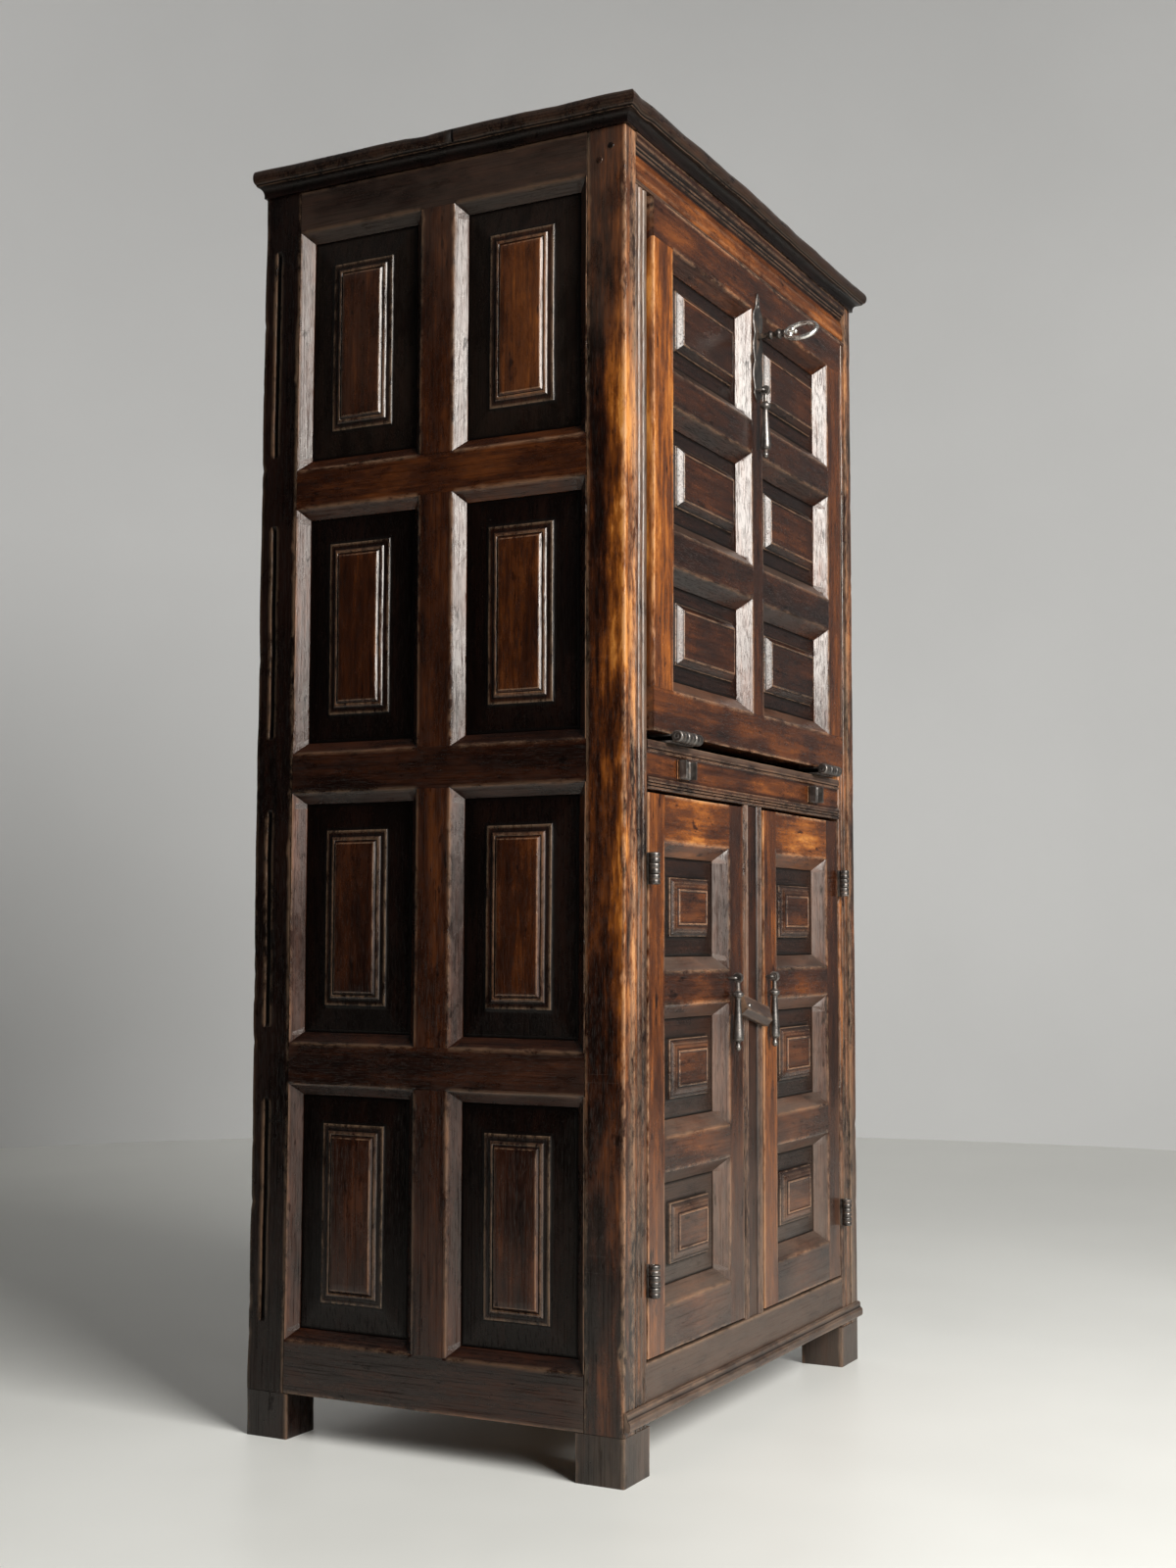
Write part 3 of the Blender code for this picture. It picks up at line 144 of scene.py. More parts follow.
# Framed leaves
FRONT_CHAMFER = 0.018
PANEL_GAP = 0.0005
PANEL_SINK = 0.001
SEAM = 0.0015
FALL_EDGES = (0.057, 0.055, 0.057, 0.053)
FALL_MUNTIN = 0.038
FALL_CROSS = 0.0465
FALL_RELIEF = (
    (0.0000, 0.0000), (0.0205, 0.0012), (0.0216, 0.0042), (0.0232, 0.0046), (0.0294, 0.0108),
    (0.0304, 0.0124), (0.0320, 0.0127), (0.0334, 0.0117), (0.0352, 0.0116),
)
DOOR_EDGES = (0.048, 0.056, 0.048, 0.059)
DOOR_CROSS = 0.0425
DOOR_RELIEF = (
    (0.0000, 0.0000), (0.0248, 0.0010), (0.0260, 0.0056), (0.0284, 0.0062),
    (0.0320, 0.0090), (0.0360, 0.0103), (0.0398, 0.0106), (0.0408, 0.0126),
    (0.0424, 0.0130), (0.0436, 0.0116), (0.0455, 0.0114),
)
# The doors' chamfers get a grey film of dust and painted sheen.
DOOR_DUST_AND_SHEEN = 0.32
ROWS = ("top", "middle", "bottom")

# Rails, muntin and cornice
RAIL_BACK = POST_Y - SEAT
BAND_RECESS = 0.006
STOP_FACE = 0.0323
STOP_LIP = 0.012
BASE_HEIGHT = 0.022
BASE_PROUD = 0.008
MUNTIN_HALF = 0.032
MUNTIN_BEAD = 0.016
CORNICE_HEIGHT = 0.035
CORNICE_OVERHANG = 0.023
CORNICE_REAR = 0.35
CORNICE_FILLET = 0.004
CRACK_Y = 0.010
CRACK_WIDTH = 0.0022
CRACK_DEPTH = 0.007

# The photograph's camera, and the stage
CAMERA_PLACE = Vector((-2.4945, -1.2675, 0.6455))
CAMERA_YAW = 0.48043
CAMERA_PITCH = 0.08066
CAMERA_ROLL = 0.0026
PHOTO_HEIGHT = 1600
PHOTO_FOCAL = 1968.96
SENSOR = 36.0
FLOOR_HALF = 12.0
WALL_RADIUS = 3.72
WALL_HEIGHT = 6.0
WALL_SPREAD = math.radians(37)
WALL_STEPS = 48
GLOSS_SHARE = 0.30


def smooth(low, high, value):
    """0 below low, 1 above high and a soft step between."""
    t = min(1.0, max(0.0, (value - low) / (high - low)))
    return t * t * (3 - 2 * t)


def hump(low, high, soft, value):
    """1 between low and high, fading to 0 outside."""
    return smooth(low - soft, low + soft, value) * (1 - smooth(high - soft, high + soft, value))


def turns(count):
    """Equal steps round a circle."""
    return [2 * math.pi * i / count for i in range(count)]


def sag(point, amount):
    """How far a corner of hand-planed wood strays from its drawn place."""
    fine = noise.noise_vector(point / SMALL_WAVE) * SAG_SMALL
    return (fine + noise.noise_vector(point / LARGE_WAVE) * SAG_LARGE) * amount


def wear_along(seed, s):
    """How rounded an edge is at a place along it: soft waves and now and then a chip."""
    wave = noise.noise(Vector((s / WEAR_WAVE, seed, 0.5)))
    chip = noise.noise(Vector((s / CHIP_WAVE, seed + 31.7, 0.5)))
    return 0.55 + 0.9 * max(0.0, wave) + 4.0 * max(0.0, chip - CHIP_RARE)


class Solid:
    """Gathers the closed bodies of one piece, with each corner's grain, wear, grime, its grey film of dust
    and painted sheen, and its tone.
    """

    def __init__(self, amount=1.0):
        self.amount = amount
        self.points, self.faces, self.grain, self.look = [], [], [], []

    def add(self, point, grain, painted, worn=0.0, grimy=0.0):
        """Adds a corner, painted with a tone and a grey film of dust and painted sheen, and gives its
        number.
        """
        tone, dust = painted
        low, high = CAD_BOX
        strayed = point + sag(point, self.amount)
        self.points.append(Vector([min(max(c, a), b) for c, a, b in zip(strayed, low, high)]))
        self.grain.append(grain)
        self.look.append((worn, grimy, dust, tone))
        return len(self.points) - 1

    def skin(self, loops, ends=True, ring=False):
        """Joins loops of corners into faces, closing the ends, or the last loop to the first."""
        pairs = list(zip(loops, loops[1:]))
        if ring:
            pairs.append((loops[-1], loops[0]))
        for a, b in pairs:
            for i in range(len(a)):
                j = (i + 1) % len(a)
                self.faces.append((a[i], a[j], b[j], b[i]))
        if ends:
            self.faces += [tuple(reversed(loops[0])), tuple(loops[-1])]

    def mesh(self, name):
        mesh = bpy.data.meshes.new(name)
        mesh.from_pydata(self.points, [], self.faces)
        grain = mesh.attributes.new("grain", "FLOAT_VECTOR", "POINT")
        grain.data.foreach_set("vector", [c for g in self.grain for c in g])
        look = mesh.attributes.new("look", "FLOAT_COLOR", "POINT")
        look.data.foreach_set("color", [c for w in self.look for c in w])
        tool = bmesh.new()
        tool.from_mesh(mesh)
        bmesh.ops.remove_doubles(tool, verts=tool.verts, dist=2e-6)
        bmesh.ops.dissolve_degenerate(tool, edges=tool.edges, dist=1e-7)
        bmesh.ops.recalc_face_normals(tool, faces=tool.faces)
        tool.to_mesh(mesh)
        tool.free()
        mesh.polygons.foreach_set("use_smooth", [True] * len(mesh.polygons))
        mesh.set_sharp_from_angle(angle=SMOOTH_ANGLE)
        return mesh

    def piece(self, node, finish, body="carcass", stem=None):
        """Makes the object, rides it on its body and lets it stand for its CAD node."""
        material, slot = finish
        name = f"{stem or node}_{slot if slot in METALS else 'wood'}"
        obj = bpy.data.objects.new(name, self.mesh(name))
        bpy.context.scene.collection.objects.link(obj)
        obj.data.materials.append(material)
        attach(obj, body)
        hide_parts(node)
        return obj


def drift():
    """A far-off start for a piece's grain, so that no two boards match."""
    return Vector([random.uniform(0, 40) for _ in range(3)])


def stations(span, step, marks=()):
    """Even places along a span, with the marks that lie inside it."""
    low, high = span
    count = max(1, round((high - low) / step))
    places = {low + (high - low) * i / count for i in range(count + 1)}
    places |= {m for m in marks if low < m < high}
    return sorted(places)


def turn_at(before, corner, after):
    """The turn of a section at a corner, in radians, above 0 where it bulges."""
    a, b = corner - before, after - corner
    if a.length < 1e-7 or b.length < 1e-7:
        return 0.0
    return math.atan2(a.x * b.y - a.y * b.x, a.dot(b))


def soften(corners, radii, closed=True):
    """Rounds the corners of a section. Gives points with how worn and how grimy each is.

    A closed section runs anticlockwise. A radius of 0 leaves a corner as one point, and no radius leaves it
    unworn as well.
    """
    spots = [Vector(c) for c in corners]
    count = len(spots)
    points = []
    for i, (spot, radius) in enumerate(zip(spots, radii)):
        if radius is None or not closed and i in (0, count - 1):
            points.append((spot, 0.0, 0.0))
            continue
        before = spots[i - 1]
        after = spots[(i + 1) % count]
        turn = turn_at(before, spot, after)
        worn = min(1.0, max(0.0, turn) / 1.2)
        grimy = min(1.0, max(0.0, -turn) / 1.2)
        if radius <= 0:
            points.append((spot, worn, grimy))
            continue
        back, ahead = before - spot, after - spot
        reach = min(radius, 0.4 * back.length, 0.4 * ahead.length)
        fade_back = min(reach + FADE, 0.48 * back.length)
        fade_ahead = min(reach + FADE, 0.48 * ahead.length)
        back, ahead = back.normalized(), ahead.normalized()
        start, end = spot + back * reach, spot + ahead * reach
        crown = start / 4 + spot / 2 + end / 4
        rounded = (spot + back * fade_back, start, crown, end, spot + ahead * fade_ahead)
        points += [(point, worn * share, grimy * share) for point, share in zip(rounded, ROUND_SHARES)]
    return points


def sweep(solid, place, span, section, radius, paint, marks=(), step=STEP, plain=(), unworn=()):
    """Skins a section, which may change along the way, with worn corners and the grain running along it."""
    start = drift()
    seed = random.uniform(0, 90)
    loops = []
    for s in stations(span, step, marks):
        corners = section(s) if callable(section) else section
        radii = [radius * wear_along(seed + 3.3 * i, s) for i in range(len(corners))]
        for i in plain:
            radii[i] = 0.0
        for i in unworn:
            radii[i] = None
        loop = []
        for point, worn, grimy in soften(corners, radii):
            at = place(s, *point)
            loop.append(solid.add(at, start + Vector((s, *point)), paint(at), worn, grimy))
        loops.append(loop)
    solid.skin(loops)


def board(solid, low, high, along, radius, paint, step=STEP, matrix=Matrix()):
    """A plain board between two corners, with its grain along one axis."""
    a, b = [axis for axis in range(3) if axis != along]

    def place(s, u, v):
        at = [0.0, 0.0, 0.0]
        at[along], at[a], at[b] = s, u, v
        return matrix @ Vector(at)

    section = ((low[a], low[b]), (high[a], low[b]), (high[a], high[b]), (low[a], high[b]))
    sweep(solid, place, (low[along], high[along]), section, radius, paint, step=step)


def lip(cuts, s, chamfer):
    """How far the chamfer beside an opening reaches at a place along a member, mitred at its ends."""
    return max([0.0] + [min(chamfer, s - start, end - s) for start, end in cuts])


def member(solid, place, span, width, sizes, cuts, paint, butted=False):
    """A rail, stile or muntin of some thickness and chamfer. The cuts are the openings beside its two edges.

    A butted one stands between two others: its ends lean in behind, so that the joint is straight there.
    """
    low, high = width
    thickness, chamfer = sizes
    below, above = cuts
    marks = []
    for start, end in (*below, *above):
        marks += [start, start + chamfer, end - chamfer, end]

    def section(s):
        e, f = lip(below, s, chamfer), lip(above, s, chamfer)
        corners = [(low - chamfer, thickness), (low - e, e)] if below else [(low, thickness)]
        corners += [(low, 0.0), (high, 0.0)]
        corners += [(high + f, f), (high + chamfer, thickness)] if above else [(high, thickness)]
        return [(a, -b) for a, b in reversed(corners)]

    span = (span[0] + JOINT, span[1] - JOINT)
    inner = (span[0] + chamfer, span[1] - chamfer)

    def leaning(s, a, b):
        if butted and -b > thickness - BACK_DEPTH:
            s = min(max(s, inner[0]), inner[1])
        return place(s, a, -b)

    unworn = ([0, 1] if above else []) + ([-2, -1] if below else [])
    sweep(solid, leaning, span, section, EDGE, paint, marks, unworn=unworn)


def panel(solid, place, rect, profile, radius, paint, upright, step=0.012, seam=0.0):
    """Rectangles set in along a profile of inset and depth, with the last one filled.

    A seam is how wide the dark line of grime and painted shade lies where the panel meets its frame.
    """
    u0, v0, u1, v1 = rect
    columns = max(4, round((u1 - u0) / step))
    rows = max(4, round((v1 - v0) / step))
    start = drift()

    def corner(i, j, inset, depth, worn, grimy):
        u = u0 + inset + (u1 - u0 - 2 * inset) * i / columns
        v = v0 + inset + (v1 - v0 - 2 * inset) * j / rows
        at = place(u, v, depth)
        grain = Vector((v, u, depth)) if upright else Vector((u, v, depth))
        return solid.add(at, start + grain, paint(at, inset), worn, grimy)

    border = [(i, 0) for i in range(columns)] + [(columns, j) for j in range(rows)]
    border += [(i, rows) for i in range(columns, 0, -1)] + [(0, j) for j in range(rows, 0, -1)]
    rings = []
    flipped = [(a, -b) for a, b in profile]
    for point, worn, grimy in soften(flipped, [radius] * len(profile), closed=False):
        # Within the seam the panel is dark: grime, and painted shade standing in for the narrow gap's
        # shadow.
        look = (0.0, 1.0) if abs(point.x - profile[1][0]) < seam else (grimy, worn)
        rings.append([corner(i, j, point.x, -point.y, *look) for i, j in border])
    solid.skin(rings, ends=False)
    solid.faces.append(tuple(reversed(rings[0])))
    grid = dict(zip(border, rings[-1]))
    for j in range(rows + 1):
        for i in range(columns + 1):
            if (i, j) not in grid:
                grid[i, j] = corner(i, j, *profile[-1], 0.0, 0.0)
    for j in range(rows):
        for i in range(columns):
            solid.faces.append((grid[i, j], grid[i + 1, j], grid[i + 1, j + 1], grid[i, j + 1]))


def lathe(solid, matrix, profile, sides, radius, paint, hollow=False):
    """Turns a profile of radius and length about a matrix's Z axis. A hollow one is a closed section."""
    start = drift()
    loops = []
    for point, worn, grimy in soften(profile, [radius] * len(profile), closed=hollow):
        loop = []
        for turn in turns(sides):
            at = matrix @ Vector((point.x * math.cos(turn), point.x * math.sin(turn), point.y))
            loop.append(solid.add(at, start + at, paint(at), worn, grimy))
        loops.append(loop)
    solid.skin(loops, ends=not hollow, ring=hollow)


def tube(solid, path, radius, sides, paint, ring=False):
    """A round bar along a path."""
    start = drift()
    loops = []
    side = None
    for i, point in enumerate(path):
        before = path[i - 1] if ring or i else point
        after = path[(i + 1) % len(path)] if ring or i < len(path) - 1 else point
        along = (after - before).normalized()
        side = side or along.orthogonal().normalized()
        side = (side - along * side.dot(along)).normalized()
        other = along.cross(side)
        loop = []
        for turn in turns(sides):
            at = point + side * radius * math.cos(turn) + other * radius * math.sin(turn)
            loop.append(solid.add(at, start + at, paint(at), 0.4))
        loops.append(loop)
    solid.skin(loops, ends=not ring, ring=ring)


def bend(points, radius, steps=6):
    """Rounds the corners of a path."""
    path = [points[0]]
    for before, spot, after in zip(points, points[1:], points[2:]):
        start = spot + (before - spot).normalized() * radius
        end = spot + (after - spot).normalized() * radius
        for i in range(steps + 1):
            t = i / steps
            path.append(start.lerp(spot, t).lerp(spot.lerp(end, t), t))
    return path + [points[-1]]


def cut(obj, hole):
    """Takes a solid away from a piece. Corners that the cut makes are white, and get the hole's look too."""
    hole.look = [HOLE_LOOK] * len(hole.look)
    cutter = bpy.data.objects.new("cutter", hole.mesh("cutter"))
    bpy.context.scene.collection.objects.link(cutter)
    cutting = obj.modifiers.new("hole", "BOOLEAN")
    cutting.object = cutter
    cutting.operation = "DIFFERENCE"
    bpy.context.view_layer.update()
    ready = obj.evaluated_get(bpy.context.evaluated_depsgraph_get())
    drilled = bpy.data.meshes.new_from_object(ready)
    for corner in drilled.attributes["look"].data:
        if min(corner.color) > 0.999:
            corner.color = HOLE_LOOK
    obj.modifiers.clear()
    obj.data = drilled
    bpy.data.objects.remove(cutter)


def cut_square(obj, low, high):
    hole = Solid(0.0)
    board(hole, low, high, 2, 0.0, even(0.2), step=1.0)
    cut(obj, hole)


def cut_round(obj, matrix, radius, low, high):
    hole = Solid(0.0)
    lathe(hole, matrix, [(radius, low), (radius, high)], 24, 0.0, even(0.2))
    cut(obj, hole)


def on_front(face):
    """Places width, height and depth on a leaf whose face is at that Y."""
    return lambda u, v, d: Vector((u, face + d, v))


def on_side(sign):
    """Places width, height and depth on the left or the right side."""
    return lambda u, v, d: Vector((sign * (HALF - d), u, v))


def standing(place):
    """A place for a member that runs up and down."""
    return lambda s, a, b: place(a, s, b)


def on_post(sign, front):
    """Places a post's section, measured in from its side and back from the front, along Z."""
    return lambda s, a, b: Vector((sign * (HALF - a), front + b, s))


def across(s, a, b):
    """Places a rail's section, measured back from the front and up, along X."""
    return Vector((s, FRONT + a, b))


def facing(spot):
    """Turns Z out of the front at a spot."""
    return Matrix.Translation(spot) @ Matrix.Rotation(QUARTER, 4, "X")


def openings(low, high, columns, rows, edges, muntin, cross):
    """Equal openings in a frame, as rows from the top of low and high corners."""
    left, bottom, right, top = edges
    width = (high[0] - low[0] - left - right - muntin * (columns - 1)) / columns
    height = (high[1] - low[1] - bottom - top - cross * (rows - 1)) / rows
    rects = []
    for row in range(rows):
        v1 = high[1] - top - row * (height + cross)
        lefts = [low[0] + left + column * (width + muntin) for column in range(columns)]
        rects.append([(u0, v1 - height, u0 + width, v1) for u0 in lefts])
    return rects


# Shader nodes


class Value:
    """A node's output, which adds, takes away and multiplies as a number does."""

    def __init__(self, shader, socket):
        self.shader, self.socket = shader, socket

    def step(self, operation, other):
        return self.shader.add("Math", {0: self, 1: other}, operation=operation)

    def __add__(self, other):
        return self.step("ADD", other)

    def __sub__(self, other):
        return self.step("SUBTRACT", other)

    def __mul__(self, other):
        return self.step("MULTIPLY", other)

    def held(self):
        """Keeps a sum or product between 0 and 1."""
        self.socket.node.use_clamp = True
        return self

    def beside(self, key):
        """Another output of the same node."""
        return Value(self.shader, self.socket.node.outputs[key])


class Shader:
    """A material's node tree, with short calls to fill it."""

    def __init__(self, name):
        self.material = bpy.data.materials.new(name)
        self.material.use_nodes = True
        self.tree = self.material.node_tree
        self.tree.nodes.clear()

    def add(self, kind, inputs=None, out=0, **settings):
        """Makes a node and gives one of its outputs."""
        made = self.tree.nodes.new("ShaderNode" + kind)
        for key, value in settings.items():
            setattr(made, key, value)
        for key, value in (inputs or {}).items():
            if isinstance(value, Value):
                self.tree.links.new(value.socket, made.inputs[key])
            else:
                made.inputs[key].default_value = value
        return Value(self, made.outputs[out])

    def corner_looks(self):
        """The grain's coordinates, and how worn, grimy and light each corner of the mesh is, and how much
        grey film of dust and painted sheen lies on it.
        """
        grain = self.add("Attribute", out="Vector", attribute_name="grain")
        look = self.add("Attribute", out="Color", attribute_name="look")
        worn = self.add("SeparateColor", {0: look})
        return grain, worn, worn.beside(1), worn.beside(2), look.beside("Alpha")

    def mix(self, factor, a, b):
        return self.add("Mix", {0: factor, 6: a, 7: b}, 2, data_type="RGBA", clamp_factor=True)

    def fade(self, value, low, high, start=0.0, end=1.0):
        """Maps a value from one range to another, held at both ends."""
        inputs = {0: value, 1: low, 2: high, 3: start, 4: end}
        return self.add("MapRange", inputs, interpolation_type="SMOOTHSTEP")

    def noise(self, vector, stretch, detail=3.0, roughness=0.55, distortion=0.0):
        scaled = self.add("VectorMath", {0: vector, 1: stretch}, operation="MULTIPLY")
        inputs = {"Vector": scaled, "Scale": 1.0, "Detail": detail, "Roughness": roughness}
        return self.add("TexNoise", {**inputs, "Distortion": distortion})

    def ramp(self, value, stops):
        made = self.add("ValToRGB", {0: value})
        band = made.socket.node.color_ramp
        while len(band.elements) < len(stops):
            band.elements.new(0.5)
        for element, (place, colour) in zip(band.elements, stops):
            element.position = place
            element.color = (*colour, 1.0)
        return made

    def finish(self, inputs):
        shader = self.add("BsdfPrincipled", inputs)
        output = self.tree.nodes.new("ShaderNodeOutputMaterial")
        self.tree.links.new(shader.socket, output.inputs[0])
        return self.material


# Walnut from nearly black through red-brown to amber, by tone
WALNUT = (
    (0.00, (0.0025, 0.0013, 0.0010)), (0.20, (0.0090, 0.0028, 0.0015)), (0.40, (0.0300, 0.0080, 0.0026)),
    (0.60, (0.0860, 0.0230, 0.0045)), (0.80, (0.2200, 0.0640, 0.0090)), (1.00, (0.4500, 0.1750, 0.0350)),
)
RAW_WOOD = (
    (0.00, (0.040, 0.025, 0.017)), (0.40, (0.150, 0.088, 0.050)),
    (0.70, (0.300, 0.185, 0.105)), (1.00, (0.480, 0.330, 0.200)),
)
DUST_AND_SHEEN_GREY = (0.125, 0.093, 0.070, 1.0)
RUBBED = (0.400, 0.270, 0.170, 1.0)
WAX = (1.00, 0.95, 0.90, 1.0)


def wood(name, stops, gloss, relief, contrast=1.45, rub=0.16):
    """Old wood whose tone, wear, grime, and grey film of dust and painted sheen come from each corner of the
    mesh.
    """
    s = Shader(name)
    grain, worn, grimy, dust_and_sheen_film, tone = s.corner_looks()
    figure = s.fade(s.noise(grain, (1.7, 30, 30), 4.0, 0.6, 0.9), 0.28, 0.72)
    patch = s.fade(s.noise(grain, (7, 16, 16), 5.0, 0.62), 0.30, 0.70)
    streak = s.fade(s.noise(grain, (13, 105, 105), 4.0, 0.66), 0.34, 0.68)
    fibre = s.noise(grain, (9, 480, 480), 3.0, 0.65)
    speck = s.noise(grain, (55, 140, 140), 4.0, 0.7)
    pores = s.fade(s.noise(grain, (60, 1700, 1700), 1.0, 0.5), 0.60, 0.72)
    slanted = s.add("VectorRotate", {0: grain, "Angle": 0.6}, rotation_type="Z_AXIS")
    scratch = s.fade(s.noise(slanted, (7, 1100, 4), 1.0, 0.4), 0.74, 0.80)
    scars = s.fade(s.noise(grain, (24, 75, 75), 3.0, 0.6), 0.64, 0.71)
    edge = worn * s.fade(speck + patch * 0.25, 0.42, 0.72)
    swing = (tone * 0.50 + 0.14) * s.fade(dust_and_sheen_film, 0.0, 0.50, 1.0, 0.70)
    mottle = (figure * 0.34 + patch * 0.40 + streak * 0.28 - 0.53) * swing
    total = tone + mottle * contrast - scars * tone * 0.45
    total = total + (fibre - 0.5) * 0.22 + (speck - 0.5) * 0.20 + edge * 0.20 + scratch * 0.10
    total = (total - grimy * 0.30 - pores * 0.16).held()
    # The grey film is dust, and painted sheen where a paint asks for it; grime keeps it off.
    film = (dust_and_sheen_film * s.fade(patch, -0.4, 1.0)).held() * s.fade(grimy, 0.0, 1.0, 1.0, 0.15)
    colour = s.mix(film, s.ramp(total, stops), DUST_AND_SHEEN_GREY)
    colour = s.mix(edge * s.fade(tone, 0.1, 0.6, rub, 0.46), colour, RUBBED)
    rough = (patch - 0.5) * 0.12 + gloss + (speck - 0.5) * 0.22
    rough = (rough + dust_and_sheen_film * 0.34 + grimy * 0.25).held()
    height = fibre * 0.30 + speck * 0.30 - pores * 0.45 - scratch * 0.25
    bump = s.add("Bump", {"Strength": relief, "Distance": 0.0010, "Height": height})
    sheen = s.fade(fibre - scars * 0.2, 0.30, 0.50, 0.22, 0.60) * s.fade(grimy, 0.0, 1.0, 1.0, 0.4)
    wax = {"Specular IOR Level": sheen * s.fade(tone, 0.0, 0.20, 0.35, 1.0), "Specular Tint": WAX}
    return s.finish({"Base Color": colour, "Roughness": rough, "Normal": bump, **wax})


def iron(name, dark, bright, rust, gloss):
    """Forged iron: dark and pitted, rubbed bright on its edges, brown in its hollows."""
    s = Shader(name)
    grain, worn, grimy, dust_and_sheen_film, tone = s.corner_looks()
    patch = s.noise(grain, (70, 70, 70), 5.0, 0.62)
    pits = s.noise(grain, (420, 420, 420), 4.0, 0.6)
    rub = s.fade(patch, 0.30, 0.60) * (worn * 0.6 + tone * 0.6)
    brown = s.fade(patch + grimy * 0.3, 0.52, 0.74, 0.0, 0.75)
    colour = s.mix(brown, s.mix(rub, dark, bright), rust)
    rough = ((pits - 0.5) * 0.5 + gloss + brown * 0.25).held()
    metal = s.fade(brown, 0.0, 0.75, 0.95, 0.45)
    bump = s.add("Bump", {"Strength": 0.35, "Distance": 0.0006, "Height": pits})
    return s.finish({"Base Color": colour, "Roughness": rough, "Metallic": metal, "Normal": bump})


# Each finish is a material and the slot that it fills
WARM = wood("warm_walnut", WALNUT, 0.25, 0.36), "warm_walnut"
POST = wood("post_walnut", WALNUT, 0.25, 0.40, 3.0), "warm_walnut"
DARK = wood("dark_walnut", WALNUT, 0.29, 0.40), "dark_walnut"
PANEL = wood("panel_walnut", WALNUT, 0.25, 0.32, rub=0.30), "panel_walnut"
RAW = wood("plain_wood", RAW_WOOD, 0.62, 0.55), "plain_wood"
BLACK_IRON = (0.070, 0.062, 0.057, 1), (0.42, 0.39, 0.36, 1), (0.110, 0.064, 0.038, 1)
GREY_STEEL = (0.50, 0.47, 0.43, 1), (0.86, 0.84, 0.80, 1), (0.26, 0.19, 0.13, 1)
IRON = iron("iron", *BLACK_IRON, 0.38), "iron"
STEEL = iron("steel", *GREY_STEEL, 0.22), "steel"
SHANK = IRON[0], "steel"
METALS = ("iron", "steel")


# How each part of the cabinet is coloured: a paint gives the tone and the grey film at a place, which is
# dust and in places painted sheen


def low_dust_and_sheen(at):
    """Grey dust towards the feet, with a painted sheen standing in for the lit floor's reflection, more of
    it on the front than on the sides.
    """
    front = 1 - smooth(FRONT + 0.03, FRONT + 0.09, at.y)
    return 0.36 * front * (1 - smooth(0.06, 0.60, at.z))


def even(tone, dust=0.0):
    return lambda at, inset=0: (tone, dust + low_dust_and_sheen(at))


def sunk(face, tone, dust, ledge=TOP, ends=None):
    """A framed leaf's rail or stile, with a grey film of dust and painted sheen on its chamfers and more
    dust on a ledge that looks up.
    """

    def paint(at, inset=0):
        film = dust * smooth(0.001, 0.006, at.y - face) + 0.26 * smooth(ledge, ledge + 0.004, at.z)
        shade = 0.22 * (1 - hump(ends[0] + 0.05, ends[1] - 0.05, 0.07, at.x)) if ends else 0.0
        return tone - shade, min(0.50, low_dust_and_sheen(at) + film)

    return paint


def post_paint(at, inset=0):
    """The front left post: rubbed to amber along its arris at hand height, with a grey-red painted sheen
    above, dark below, and dust and a painted highlight on its reeds.
    """
    from_arris = max(at.x + HALF, at.y - FRONT)
    near = 1 - smooth(0.012, 0.066, from_arris)
    hand = hump(0.52, 1.34, 0.16, at.z)
    # Above 1.32 m the post gets a grey-red painted sheen, in tone and grey film; the grey film on the reeds
    # above 0.8 m is dust and a painted highlight.
    high = smooth(1.32, 1.44, at.z)
    reeds = smooth(POST_FLAT, POST_FLAT + 0.004, at.x + HALF) * smooth(0.80, 0.95, at.z)
    tone = 0.29 + 0.08 * near + 0.26 * near * hand + 0.04 * high
    return tone, 0.14 * high + 0.26 * reeds + 0.2 * low_dust_and_sheen(at)


def side_paint(tone):
    """A side's rail or muntin, with a grey painted sheen under the cornice."""
    return lambda at, inset=0: (tone, 0.13 * smooth(1.36, 1.58, at.z) + low_dust_and_sheen(at))


def panel_paint(border, centre, reach, dust=0.0):
    """A panel with a dark border and a warmer raised centre."""

    def paint(at, inset=0):
        return border + (centre - border) * smooth(0.6 * reach, reach, inset), dust + low_dust_and_sheen(at)

    return paint


# Carcass


def add_foot(solid, place, width, near, far, tone):
    section = [(0, near), (width, near), (width, far), (0, far)]
    sweep(solid, place, (0, FOOT - FOOT_SEAM), section, FOOT_EDGE, even(tone))


